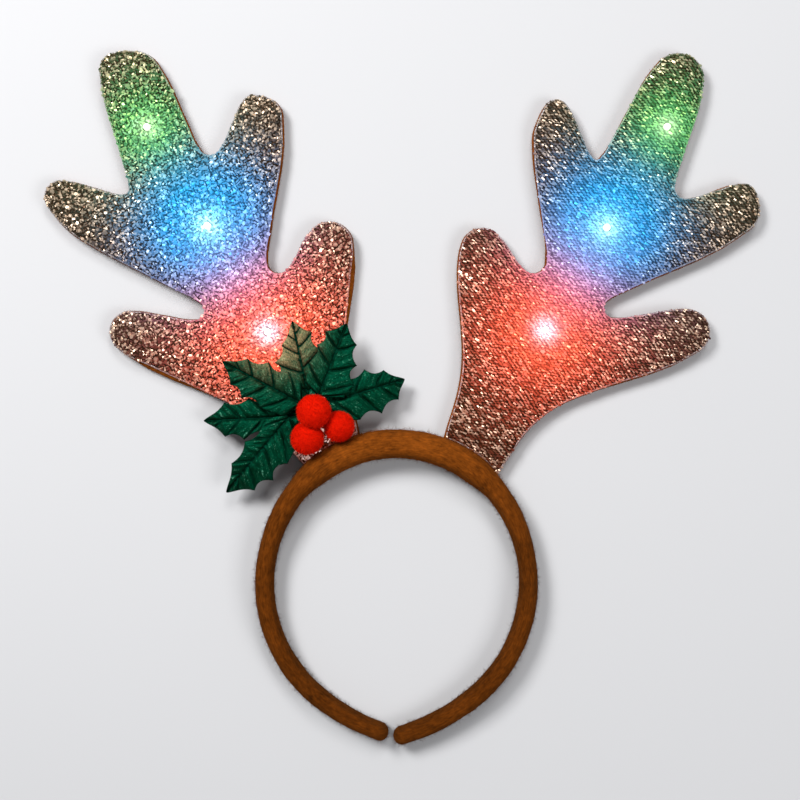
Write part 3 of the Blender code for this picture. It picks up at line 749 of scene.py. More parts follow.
def rim_finish(hand, settings):
    """Sealed edge of the glitter cloth: pale fused foil, with the lamps' light painted into it as glow."""
    rim = Finish("cloth_rim_" + hand, Metallic=0.55, Specular_IOR_Level=0.4, Emission_Strength=1.0)
    speckle = rim.grain(1600.0, detail=2.0)
    colour, faint, _, tint = rim.lamp_glow(hand)
    colour = rim.vector("ADD", colour, faint)
    own = rim.ramp(
        speckle, (0.30, (0.07, 0.04, 0.03)), (0.50, (0.26, 0.21, 0.20)), (0.68, (0.60, 0.55, 0.55)))
    rim.set("Base Color", rim.vector("MULTIPLY", own, tint))
    rim.set("Roughness", 0.30 + speckle * 0.3)
    rim.set("Emission Color", rim.scaled(colour, (0.35 + speckle * 0.7) * settings.glow))
    rim.bump(speckle, 0.0002)
    return rim


def lens_finish(name):
    """Lit lens, hot in its middle and coloured round its foot."""
    x, y, colour = LAMPS[name]
    lens = Finish("lens_" + name, Roughness=0.12, Specular_IOR_Level=0.6, Emission_Strength=1.05)
    share = (lens.span_from(x, y) / (1.6 * MM)).held()
    lens.set("Base Color", (*colour, 1.0))
    half_tint = tuple(0.5 + 0.5 * part for part in colour)
    lens.set("Emission Color", lens.ramp(share, (0.0, half_tint), (1.0, colour)))
    lens.bump(lens.grain(2500.0), 0.05 * MM)
    return lens


def satin_finish(settings):
    """Pressed satin: creased along its veins, with painted shade in them, painted sheen and highlights on
    its crinkles, and the red lamp's warm light painted on beside it.
    """
    satin = Finish("holly_satin", Specular_IOR_Level=0.42, Specular_Tint=(0.0, 0.66, 0.34, 1.0),
                   Emission_Strength=1.0)
    lay, along_veins = (satin.node("ShaderNodeUVMap", {"uv_map": name}).outputs[0]
                        for name in ("blade", "streaks"))
    threads = satin.grain(1500.0, (0.7, 1.5, 1.0), 2.0, 0.6, lay)
    crinkle = satin.grain(620.0, (1.0, 1.0, 1.0), 5.0, 0.70, along_veins)
    vein = Value(satin, satin.attribute("vein"))
    tone = (crinkle * 1.35 + threads * 0.95 - vein * 0.58 - 0.64).held()
    base = settings.satin
    sheen = tuple(part * share for part, share in zip(base, (4.0, 2.7, 3.3)))
    # The ramp paints light and shade into the satin's colour: near black in the pressed veins and the
    # crinkles' troughs, painted sheen and a pale painted highlight on their peaks
    green = satin.ramp(
        tone, (0.08, times(base, 0.05)), (0.44, base), (0.68, sheen), (0.84, (0.070, 0.21, 0.140)))
    x, y, z, reach = WARM_WASH
    warm = satin.fade(satin.span_from(x, y, z), reach, 3.0)
    wash = (warm * (tone * 2.0 - 0.42)).held()
    satin.set("Base Color", satin.blend(wash, green, (0.21, 0.14, 0.065, 1.0)))
    satin.set("Emission Color", satin.scaled((0.56, 0.34, 0.17), (warm * (tone ** 2.4) * 1.5).held()))
    satin.set("Roughness", (0.52 - tone * 0.24).held())
    satin.bump((crinkle * 0.8 + threads * 0.5).held(), 0.00042, 0.9)
    return satin


def yarn_finish(name, colour):
    """Cut yarn: matt red ends of uneven tone, deeper red where its fine relief sinks and brighter where it
    rises, as painted shade and light.
    """
    yarn = Finish(name, Roughness=0.95, Specular_IOR_Level=0.04, Sheen_Weight=0.08, Sheen_Roughness=0.6,
                  Sheen_Tint=(1.0, 0.10, 0.03, 1.0))
    clump = yarn.grain(700.0, detail=3.0)
    fine = yarn.grain(3200.0, detail=2.0)
    tone = (clump * 0.5 + fine * 0.7 - 0.1).held()
    bright = (min(1.0, colour[0] * 1.05), colour[1] * 1.6 + 0.002, colour[2] * 2.0)
    yarn.set("Base Color", yarn.ramp(tone, (0.20, times(colour, 0.88)), (0.50, colour), (0.85, bright)))
    yarn.bump(fine, 0.00012)
    return yarn


# Patterns

GRID_MARGIN = 1.5
DROP_HEIGHT = 0.05
FRONT_FACING = 0.6
STITCH_TAPER = 0.68
LOWEST_FIBRE = 0.04 * MM


def stitch_pattern():
    """Rows of foil stitches, laid over a cloth from above and turned to its slope."""
    made = Pattern("foil_stitches", (
        ("Stitch Pitch", "Float", 1.5 * MM), ("Row Pitch", "Float", 1.0 * MM),
        ("Length", "Float", 1.8 * MM), ("Width", "Float", 0.8 * MM), ("Height", "Float", 0.3 * MM),
        ("Sides", "Int", 4), ("Corner", "Float", 1.414),
        ("Row Angle", "Float", 0.0), ("Slant", "Float", -0.5), ("Slant Spread", "Float", 0.4),
        ("Tilt", "Float", 0.3), ("Scatter", "Float", 0.2 * MM), ("Least Shade", "Float", 0.0),
        ("Seed", "Int", 0), ("Finish", "Material", None)))
    cloth = made.given["Geometry"]
    pitch, row_pitch = made.number("Stitch Pitch"), made.number("Row Pitch")
    row_angle, tilt, seed = made.number("Row Angle"), made.number("Tilt"), made.number("Seed")

    # A staggered grid of points over the whole cloth, turned to the rows' angle
    box = made.node("GeometryNodeBoundBox", None, {0: cloth}).outputs
    wide, high, _ = made.parts(made.vector("SUBTRACT", box["Max"], box["Min"]))
    rows = (high * GRID_MARGIN / row_pitch).maths("CEIL")
    columns = (wide * GRID_MARGIN / pitch).maths("CEIL")
    grid = made.node("GeometryNodeMeshGrid", None, {
        "Size X": (columns - 1.0) * pitch, "Size Y": (rows - 1.0) * row_pitch,
        "Vertices X": columns, "Vertices Y": rows}).outputs[0]
    odd = made.value("GeometryNodeInputIndex").maths("MODULO", rows).maths("MODULO", 2.0)
    staggered = made.moved(grid, "Offset", made.joined(odd * pitch * 0.5, 0.0, 0.0))
    scatter = made.scaled(
        made.random_vector((-1.0, -1.0, 0.0), (1.0, 1.0, 0.0), seed), made.number("Scatter"))
    middle = made.scaled(made.vector("ADD", box["Max"], box["Min"]), 0.5)
    above = made.vector("ADD", middle, (0.0, 0.0, DROP_HEIGHT))
    here = made.node("GeometryNodeInputPosition").outputs[0]
    turned = made.node("ShaderNodeVectorRotate", {"rotation_type": "Z_AXIS"}, {
        "Vector": made.vector("ADD", here, scatter), "Angle": row_angle}).outputs[0]
    placed = made.moved(staggered, "Position", made.vector("ADD", turned, above))

    # Only the points above the cloth's front are kept
    ray = made.node("GeometryNodeRaycast", None, {
        "Target Geometry": cloth, "Ray Direction": (0.0, 0.0, -1.0), "Ray Length": 1.0}).outputs
    facing = made.parts(ray["Hit Normal"])[2]
    on_top = facing.maths("GREATER_THAN", FRONT_FACING) * Value(made, ray["Is Hit"])
    kept = made.node("GeometryNodeSeparateGeometry", {"domain": "POINT"}, {
        0: placed, "Selection": on_top}).outputs[0]

    # One flat stitch on each, tilted and slanted at random, then let down onto the cloth
    corner = made.number("Corner")
    cone = made.cone(Vertices=made.given["Sides"], Radius_Top=corner * STITCH_TAPER,
                     Radius_Bottom=corner, Depth=1.0)
    half_side = made.joined(0.0, 0.0, math.pi / made.number("Sides"))
    stitch = made.node("GeometryNodeTransform", None, {0: cone, "Rotation": half_side}).outputs[0]
    slant = made.random(-1.0, 1.0, seed + 3.0) * made.number("Slant Spread") + made.number("Slant")
    euler = made.joined(
        made.random(-1.0, 1.0, seed + 1.0) * tilt, made.random(-1.0, 1.0, seed + 2.0) * tilt,
        slant + row_angle)
    turn = made.node("FunctionNodeRotateRotation", {"rotation_space": "LOCAL"}, {
        0: made.stood_on(ray["Hit Normal"]),
        1: made.node("FunctionNodeEulerToRotation", None, {0: euler}).outputs[0]}).outputs[0]
    size = (made.random(0.0, 1.0, seed + 4.0) ** 3.0) * 0.55 + 0.80
    scale = made.joined(
        made.number("Length") * 0.5 * size,
        made.number("Width") * 0.5 * size * made.random(0.75, 1.25, seed + 5.0), made.number("Height"))
    fall = made.joined(0.0, 0.0, Value(made, ray["Hit Distance"]) * -1.0)
    laid = made.shifted(made.copies(kept, stitch, turn, scale), fall)
    laid = made.stored(laid, "sparkle", made.random(0.0, 1.0, seed + 6.0))
    made.finish_with(made.stored(laid, "shade", made.random(made.given["Least Shade"], 1.0, seed + 7.0)))
    return made


def fuzz_pattern():
    """Loose fibres on a surface, leaning along its lay, each one thin and closed."""
    made = Pattern("loose_fibres", (
        ("Density", "Float", 1.0e6), ("Length", "Float", 1.5 * MM), ("Radius", "Float", 0.05 * MM),
        ("Bends", "Int", 1), ("Stand", "Float", 0.4), ("Lay", "Float", 1.0), ("Spread", "Float", 0.5),
        ("Curl", "Float", 0.0), ("Curl Scale", "Float", 500.0), ("Sink", "Float", 0.1 * MM),
        ("Seed", "Int", 0), ("Finish", "Material", None)))
    surface, seed = made.given["Geometry"], made.number("Seed")
    points = made.node("GeometryNodeDistributePointsOnFaces", {"distribute_method": "RANDOM"}, {
        "Mesh": surface, "Seed": seed,
        "Density": made.number("Density") * Value(made, made.named("fuzz"))}).outputs
    flip = made.random(-1.0, 1.0, seed + 1.0).maths("SIGN")
    lean = made.vector("ADD", made.scaled(points["Normal"], made.number("Stand")),
                       made.scaled(made.named("lay", "FLOAT_VECTOR"), made.number("Lay") * flip))
    stray = made.scaled(made.random_vector((-1.0,) * 3, (1.0,) * 3, seed + 2.0), made.number("Spread"))
    turn = made.stood_on(made.vector("ADD", lean, stray))
    fibre = made.cone(Vertices=3, Side_Segments=made.given["Bends"], Radius_Top=0.0, Radius_Bottom=1.0,
                      Depth=1.0)
    radius = made.number("Radius") * made.random(0.7, 1.3, seed + 3.0)
    scale = made.joined(radius, radius, made.number("Length") * made.random(0.5, 1.2, seed + 4.0))
    # Each fibre takes the shade stored on the surface below it: on the band, its painted shade
    below = made.node("GeometryNodeSampleNearestSurface", {"data_type": "FLOAT"}, {
        0: surface, 1: made.named("shade")}).outputs[0]
    shaded = made.stored(made.copies(points["Points"], fibre, turn, scale), "shade", below)
    sunk = made.shifted(shaded, made.joined(0.0, 0.0, made.number("Sink") * -1.0))

    def curled(real):
        here = made.node("GeometryNodeInputPosition").outputs[0]
        wave = made.node("ShaderNodeTexNoise", None, {
            "Vector": here, "Scale": made.number("Curl Scale"), "Detail": 1.0}).outputs["Color"]
        offset = made.scaled(made.vector("SUBTRACT", wave, (0.5, 0.5, 0.5)), made.number("Curl"))
        x, y, z = made.parts(made.vector("ADD", here, offset))
        return made.moved(real, "Position", made.joined(x, y, z.maths("MAXIMUM", LOWEST_FIBRE)))

    made.finish_with(sunk, curled)
    return made


@functools.cache
def pattern(build):
    """The pattern's tree, built once."""
    return build()


# The band

BAND_STATIONS = 150
BAND_SIDES = 36
BAND_END_TURNS = (12, 24, 36, 48, 59, 69, 78, 85)
SEAM_ANGLE = math.radians(150.0)
SEAM_WIDTH = 0.55 * MM
SWELLS = ((95.0, 0.7), (330.0, 0.35))
# Painted shade on the band's felt: the share of light left on the hoop's sides, the share taken off towards
# its low ends, and the reach over which that grows
SIDE_PAINTED_SHADE = 0.62
END_PAINTED_SHADE = 0.48
END_PAINTED_SHADE_REACH = 90.0 * MM
BARE_HEIGHT = 2.5 * MM


def hoop_point(distance):
    """Place on the hoop's centre line in plan and the outward direction there."""
    side = math.copysign(1.0, distance)
    left = abs(distance)
    x = y = heading = 0.0
    for radius, sweep in HOOP_ARCS:
        turned = heading + min(left / radius, sweep)
        x += radius * (math.sin(turned) - math.sin(heading))
        y += radius * (math.cos(turned) - math.cos(heading))
        left -= radius * (turned - heading)
        heading = turned
        if left <= 0.0:
            break
    return Vector((side * x, y)) + HOOP_SHIFT, Vector((side * math.sin(heading), math.cos(heading)))


def hoop_half_length(side):
    (top, top_sweep), (flank, flank_sweep), (low, _) = HOOP_ARCS
    fixed = top * top_sweep + flank * flank_sweep
    heading = top_sweep + flank_sweep
    corner = hoop_point(fixed)[0].x - HOOP_SHIFT.x
    stop = side * HOOP_END_SHIFT + HOOP_END_GAP / 2
    sine = math.sin(heading) - (corner - stop) / low
    return fixed + low * (math.pi - math.asin(sine) - heading)


def hoop_padding(distance):
    """Half thickness and half depth of the hoop at a signed distance from the middle of its top."""
    share = min(1.0, abs(distance) / hoop_half_length(math.copysign(1.0, distance)))
    lower, upper, blend = rows_beside(share, HOOP_PADDING)
    blend = eased(blend)
    thickness = lower[1] + (upper[1] - lower[1]) * blend
    depth = lower[2] + (upper[2] - lower[2]) * blend
    return HOOP_THICKNESS / 2 * thickness, HOOP_DEPTH / 2 * depth


def band_stations(side):
    """Signed distances and end-rounding shares down one half of the hoop."""
    length = hoop_half_length(side)
    rounding = hoop_padding(side * length)[0]
    plain = length - rounding
    stations = [(side * plain * step / BAND_STATIONS, 1.0) for step in range(1, BAND_STATIONS + 1)]
    for turn in map(math.radians, BAND_END_TURNS):
        stations.append((side * (plain + rounding * math.sin(turn)), math.cos(turn)))
    return stations


class BuildBand(bpy.types.Operator):
    """Padded hoop in its felt sleeve, with its seam and its loose fibres"""

    bl_idname = "headband.build_band"
    bl_label = "Felt band"

    def execute(self, context):
        settings = context.scene.headband_band
        stations = band_stations(-1)[::-1] + [(0.0, 1.0)] + band_stations(1)
        places, lays, laps, spans, painted_shades = [], [], [], [], []
        for distance, rounding in stations:
            centre, outward = hoop_point(distance)
            half_thickness, half_depth = hoop_padding(distance)
            ring = []
            for angle in turns_round(BAND_SIDES):
                across, lift = self.section(angle)
                place = Vector((*(centre + outward * half_thickness * rounding * across),
                                half_depth * (1.0 + rounding * lift)))
                out = Vector((*(outward * across), lift)).normalized()
                ring.append(place + out * self.relief(place, angle, half_thickness, settings) * rounding)
                lays.append((outward.y, -outward.x, 0.0))
                # Painted shade: the felt is lighter on the hoop's top than on its sides, as light from
                # above leaves it, and darker towards the hoop's low ends
                painted_light_from_above = SIDE_PAINTED_SHADE + (1.0 - SIDE_PAINTED_SHADE) * max(0.0, lift) ** 0.7
                drop = eased(min(1.0, abs(distance) / END_PAINTED_SHADE_REACH))
                painted_shades.append(painted_light_from_above * (1.0 - END_PAINTED_SHADE * drop))
            girth = [0.0]
            for here, after in zip(ring, ring[1:]):
                girth.append(girth[-1] + (after - here).length)
            places += ring
            laps += girth
            spans += [distance] * BAND_SIDES
        faces = ring_faces(len(stations), BAND_SIDES) + end_caps(len(stations), BAND_SIDES)
        for place in places:
            place.z = max(0.0, place.z)
        felt = felt_finish("band_felt", settings.felt, lay="sleeve", shaded=True)
        band = piece_from("headband_sleeve", places, faces, felt)
        layer = band.data.uv_layers.new(name="sleeve")
        for loop in band.data.loops:
            layer.data[loop.index].uv = (spans[loop.vertex_index], laps[loop.vertex_index])
        set_attribute(band, "lay", "FLOAT_VECTOR", lays)
        # The painted shade is stored for the felt's finish and its fibres
        set_attribute(band, "shade", "FLOAT", painted_shades)
        fuzz_shares = [min(1.0, max(0.0, place.z / BARE_HEIGHT - 0.2)) for place in places]
        set_attribute(band, "fuzz", "FLOAT", fuzz_shares)
        fuzz_felt = felt_finish("band_fibres", settings.felt, shaded=True)
        fuzz = pattern(fuzz_pattern).mesh_over(band, "headband_fibres", {
            "Density": settings.fibres, "Length": settings.fibre_length, "Radius": 0.055 * MM, "Bends": 2,
            "Stand": 0.42, "Lay": 0.75, "Spread": 0.75, "Curl": 1.1 * MM, "Curl Scale": 700.0,
            "Sink": 0.12 * MM, "Seed": 11, "Finish": fuzz_felt.material})
        keep(band, "brown_felt", "headband")
        keep(fuzz, "brown_felt")
        return {"FINISHED"}

    @staticmethod
    def section(angle):
        """Outward and upward shares of the hoop's squarish section."""
        power = 2.0 / HOOP_SQUARENESS
        across = math.copysign(abs(math.cos(angle)) ** power, math.cos(angle))
        lift = math.copysign(abs(math.sin(angle)) ** power, math.sin(angle))
        return across, lift

    @staticmethod
    def relief(place, angle, half_thickness, settings):
        """Swelling of the padding, less the seam's crease."""
        span = abs(angle - SEAM_ANGLE) * half_thickness
        crease = math.exp(-(span / SEAM_WIDTH) ** 2)
        return lumps(place, SWELLS) * settings.unevenness - crease * settings.seam_depth


# The antlers

LOW_TURNS = (0.0, 25.0, 50.0, 72.0)
HIGH_TURNS = (0.0, 20.0, 42.0, 65.0, 90.0)
CROWN_FOOT = 5.8 * MM
CROWN_HEIGHT = 3.5 * MM
CROWN_REACH = 12.0 * MM
EDGE_TUCK = 0.7 * MM
CLOTH_THICKNESS = 1.0 * MM
CLOTH_PITCH = 2.0 * MM
HOLE_SIDES = 20
RIM_SIDES = 7
RIM_RADIUS = 0.5 * MM
RIM_DROP = 0.30 * MM
RIM_INSET = 0.25 * MM
ROW_ANGLES = {"right": -4.0, "left": -18.0}
STITCH_LAYERS = {
    # hand: name, then shares of pitch, row pitch, length and width, height in millimetres, slant and
    # its spread in degrees, tilt, scatter in millimetres, sides, least shade, seed
    "right": (
        ("foil_stitches", (1.0, 1.0, 1.0, 1.0, 0.34, -29.0, 18.0, 0.42, 0.26, 4, 0.0, 101)),
        ("foil_flakes", (2.9, 3.4, 0.80, 1.15, 0.50, -29.0, 34.0, 0.36, 1.50, 5, 0.66, 131)),
    ),
    "left": (
        ("foil_stitches", (0.80, 0.84, 0.78, 1.0, 0.34, 10.0, 80.0, 0.55, 0.40, 4, 0.0, 202)),
        ("foil_flakes", (1.95, 2.6, 0.95, 1.60, 0.60, 0.0, 90.0, 0.40, 1.40, 5, 0.60, 232)),
    ),
}


def antler_rings(hand):
    """The felt's rings at its back, belly and front, smooth and paired place by place."""
    node = f"antler_{hand}_back"
    back, belly, front = (smooth_ring(turned_left(loops_between(node, test)[0]))
                          for test in (back_edge, belly_edge, front_edge))
    return nearest_on(back, belly), belly, nearest_on(front, belly)


def set_fuzz(piece, lowest):
    """Let fibres grow above a height only."""
    heights = np.array([vert.co.z for vert in piece.data.vertices])
    set_attribute(piece, "fuzz", "FLOAT", np.clip((heights - lowest) / (0.5 * MM), 0.0, 1.0))
    set_attribute(piece, "lay", "FLOAT_VECTOR", np.zeros((len(heights), 3)))


class BuildFeltBacks(bpy.types.Operator):
    """Felt back and padded side of each antler, rounded over its edge"""

    bl_idname = "headband.build_felt_backs"
    bl_label = "Felt backs"

    def execute(self, context):
        colour = context.scene.headband_band.felt
        for hand in HANDS:
            back, belly, front = antler_rings(hand)
            rings = []
            for turn in map(math.radians, LOW_TURNS):
                sine, cosine = math.sin(turn), math.cos(turn)
                rings.append(back + (belly - back) * np.array((sine, sine, 1.0 - cosine)))
            for turn in map(math.radians, HIGH_TURNS):
                sine, cosine = math.sin(turn), math.cos(turn)
                rings.append(belly + (front - belly) * np.array((1.0 - cosine, 1.0 - cosine, sine)))
            faces = ring_faces(len(rings), len(back)) + end_caps(len(rings), len(back))
            felt = felt_finish("back_felt_" + hand, colour)
            piece = piece_from(f"antler_{hand}_felt", np.concatenate(rings), faces, felt)
            set_fuzz(piece, 1.0 * MM)
            fuzz = pattern(fuzz_pattern).mesh_over(piece, f"antler_{hand}_felt_fibres", {
                "Density": 4.0e5, "Length": 1.1 * MM, "Radius": 0.045 * MM, "Bends": 2, "Stand": 0.5,
                "Lay": 0.0, "Spread": 0.9, "Curl": 0.8 * MM, "Curl Scale": 700.0, "Sink": 0.05 * MM,
                "Seed": 23, "Finish": felt.material})
            keep(piece, "brown_felt", f"antler_{hand}_back")
            keep(fuzz, "brown_felt")
        return {"FINISHED"}


def cloth_outline(hand):
    """The cloth's smooth outline and the middle and radius of each lamp hole."""
    outer, *holes = loops_between(f"antler_{hand}_cloth", front_edge)
    outline = smooth_ring(turned_left(outer))
    outline[:, 2] = cloth_height(np.zeros(len(outline)))
    middles = [ring.mean(axis=0) for ring in holes]
    radii = [float(np.linalg.norm((ring - middle)[:, :2], axis=1).mean())
             for ring, middle in zip(holes, middles)]
    return outline, list(zip(middles, radii))


def cloth_height(spans):
    """Height of the cloth's top at a distance from its edge: a flat pillow with rounded sides."""
    share = np.clip((spans + EDGE_TUCK) / CROWN_REACH, 0.0, 1.0)
    return CROWN_FOOT + CROWN_HEIGHT * (1.0 - (1.0 - share) ** 2)


class BuildGlitterCloths(bpy.types.Operator):
    """Glittered cloth over each antler's front: backing, foil stitches and sealed rim"""

    bl_idname = "headband.build_glitter_cloths"
    bl_label = "Glitter cloths"

    def execute(self, context):
        settings = context.scene.headband_antlers
        for hand in HANDS:
            outline, holes = cloth_outline(hand)
            cloth, area = self.build_cloth(hand, outline, holes, settings)
            foil = foil_finish(hand, settings)
            trims = [self.build_stitches(name, hand, cloth, foil, settings, layer)
                     for name, layer in STITCH_LAYERS[hand]]
            trims.append(self.build_rim(hand, outline, settings))
            keep(cloth, "glitter_cloth", f"antler_{hand}_cloth")
            for trim in trims:
                keep(trim, "glitter_cloth")
            low, high = outline.min(axis=0), outline.max(axis=0)
            float(high[0] - low[0])
            float(high[1] - low[1])
        return {"FINISHED"}

    def build_cloth(self, hand, outline, holes, settings):
        plan, faces = self.plan_of(outline, holes)
        heights = cloth_height(edge_spans(plan, outline))
        pucker = np.array([noise.noise(Vector((x * 160.0, y * 160.0, 3.0))) for x, y in plan]) * 0.12 * MM
        count = len(plan)
        top = np.column_stack((plan, heights + pucker))
        under = np.column_stack((plan, heights - CLOTH_THICKNESS))
        all_faces = faces + [tuple(i + count for i in reversed(face)) for face in faces]
        sides = dict.fromkeys(side for face in faces for side in zip(face, face[1:] + face[:1]))
        all_faces += [(second, first, first + count, second + count)
                      for first, second in sides if (second, first) not in sides]
        cloth = piece_from(f"antler_{hand}_glitter_cloth", np.concatenate((top, under)), all_faces,
                           cloth_finish(hand, settings))
        corners = plan[np.array(faces)]
        along, across = corners[:, 1] - corners[:, 0], corners[:, 2] - corners[:, 0]
        area = float(np.abs(along[:, 0] * across[:, 1] - along[:, 1] * across[:, 0]).sum() / 2)
        return cloth, area

    @staticmethod
    def plan_of(outline, holes):
        """The cloth in plan, as even triangles round its lamp holes: their places and faces."""
        places = [Vector(place[:2]) for place in outline]
        loops = [list(range(len(places)))]
        for middle, radius in holes:
            loops.append(list(range(len(places), len(places) + HOLE_SIDES)))
            for turn in turns_round(HOLE_SIDES):
                places.append(Vector(middle[:2]) + radius * Vector((math.cos(turn), -math.sin(turn))))
        low, high = outline.min(axis=0), outline.max(axis=0)
        row_step = CLOTH_PITCH * math.sqrt(3) / 2
        field = []
        for row in range(int((high[1] - low[1]) / row_step) + 1):
            for column in range(int((high[0] - low[0]) / CLOTH_PITCH) + 1):
                field.append((low[0] + (column + 0.5 * (row % 2)) * CLOTH_PITCH, low[1] + row * row_step))
        field = np.array(field)
        free = inside_ring(field, outline) & (edge_spans(field, outline) > CLOTH_PITCH * 0.45)
        for middle, radius in holes:
            free &= np.linalg.norm(field - middle[:2], axis=1) > radius + CLOTH_PITCH * 0.5
        places += [Vector(place) for place in field[free]]
        bounds = [(loop[i - 1], loop[i]) for loop in loops for i in range(len(loop))]
        flat, _, triangles, *_ = delaunay_2d_cdt(places, bounds, [], 1, 1e-7)
        plan = np.array([tuple(place) for place in flat])
        faces = []
        for face in triangles:
            middle = plan[list(face)].mean(axis=0)
            if all(np.linalg.norm(middle - hole[:2]) >= radius * 0.97 for hole, radius in holes):
                faces.append(tuple(face))
        return plan, faces

    @staticmethod
    def build_stitches(name, hand, cloth, foil, settings, layer):
        (pitch, row_pitch, length, width, height, slant, slant_spread, tilt, scatter, sides, bright,
         seed) = layer
        return pattern(stitch_pattern).mesh_over(cloth, f"antler_{hand}_{name}", {
            "Stitch Pitch": settings.stitch_pitch * pitch, "Row Pitch": settings.row_pitch * row_pitch,
            "Length": settings.stitch_length * length, "Width": settings.stitch_width * width,
            "Height": height * MM, "Row Angle": math.radians(ROW_ANGLES[hand]),
            "Slant": math.radians(slant), "Slant Spread": math.radians(slant_spread), "Tilt": tilt,
            "Scatter": scatter * MM, "Sides": sides, "Corner": 1.0 / math.cos(math.pi / sides),
            "Least Shade": bright, "Seed": seed, "Finish": foil.material})

    @staticmethod
    def build_rim(hand, outline, settings):
        """Fused edge of the cloth: a fine rounded bead along its outline."""
        onward = np.roll(outline, -1, axis=0) - np.roll(outline, 1, axis=0)
        onward = onward / np.linalg.norm(onward, axis=1)[:, None]
        inward = np.column_stack((-onward[:, 1], onward[:, 0], np.zeros(len(outline))))
        middle = outline.copy()
        middle[:, 2] -= RIM_DROP
        middle += inward * RIM_INSET
        rows = []
        for turn in turns_round(RIM_SIDES):
            rows.append(middle + inward * (-math.cos(turn) * RIM_RADIUS)
                        + np.array((0.0, 0.0, math.sin(turn) * RIM_RADIUS)))
        faces = ring_faces(RIM_SIDES, len(outline), closed=True)
        return piece_from(f"antler_{hand}_rim", np.concatenate(rows), faces, rim_finish(hand, settings))


# Lamps

LENS_SIDES = 24
LENS_TURNS = (18, 36, 54, 72)
LENS_SHOULDER = 0.7 * MM
LENS_DOME = 0.9 * MM


class BuildLamps(bpy.types.Operator):
    """Six small domed lenses, lit"""

    bl_idname = "headband.build_lamps"
    bl_label = "Lamps"

    def execute(self, context):
        for name, (x, y, _) in LAMPS.items():
            node = "lamp_" + name
            low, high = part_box(node)
            radius = (high.x - low.x) / 2
            shoulder = high.z - LENS_SHOULDER
            rings = [(radius, low.z), (radius, shoulder)]
            for turn in map(math.radians, LENS_TURNS):
                rings.append((radius * math.cos(turn), shoulder + LENS_DOME * math.sin(turn)))
            places = [(x * MM + ring_radius * math.cos(turn), y * MM + ring_radius * math.sin(turn), height)
                      for ring_radius, height in rings for turn in turns_round(LENS_SIDES)]
            last, top = len(places) - LENS_SIDES, len(places)
            places.append((x * MM, y * MM, shoulder + LENS_DOME))
            faces = ring_faces(len(rings), LENS_SIDES)
            faces += [(last + step, last + (step + 1) % LENS_SIDES, top) for step in range(LENS_SIDES)]
            faces.append(range(LENS_SIDES))
            slot = "lamp_" + name.split("_")[1]
            keep(piece_from(node + "_lens", places, faces, lens_finish(name)), slot, node)
        return {"FINISHED"}


# Holly

STEM_SHARE = 0.11
SCALLOP = 0.22
LEAF_ROWS = 120
LEAF_COLUMNS = 20
LEAF_EDGE = 0.1 * MM
LEAF_LEAST_THICKNESS = 0.30 * MM
DROOP_START = 0.45
VEIN_LEAN = 0.20
VEIN_WIDTH = 0.45 * MM
RIB_WIDTH = 1.1 * MM
CREASES = ((380.0, 0.34), (900.0, 0.30), (2100.0, 0.07))


def blade_reach(share, prickles):
    """Share of the half width from the rib to the edge: points at the prickles, hollows between them."""
    rows = ((0.0, STEM_SHARE), (0.10, prickles[0][1] * 0.82)) + prickles + ((1.0, 0.015),)
    lower, upper, blend = rows_beside(share, rows)
    straight = lower[1] + (upper[1] - lower[1]) * blend
    hollow = SCALLOP if lower[0] > 0.1 else 0.0
    return straight * (1.0 - hollow * 4.0 * blend * (1.0 - blend))


def leaf_faces(rows, columns):
    """Faces of a closed leaf: the grid of its top, that of its under side and the wall round them."""
    count = rows * columns
    faces = []
    for row in range(rows - 1):
        for column in range(columns - 1):
            near, after = row * columns + column, (row + 1) * columns + column
            faces.append((near, near + 1, after + 1, after))
            faces.append((near + count, after + count, after + 1 + count, near + 1 + count))
        for column in (0, columns - 1):
            near, after = row * columns + column, (row + 1) * columns + column
            faces.append((near, after, after + count, near + count))
    for row in (0, rows - 1):
        for near in range(row * columns, row * columns + columns - 1):
            faces.append((near, near + count, near + 1 + count, near + 1))
    return faces


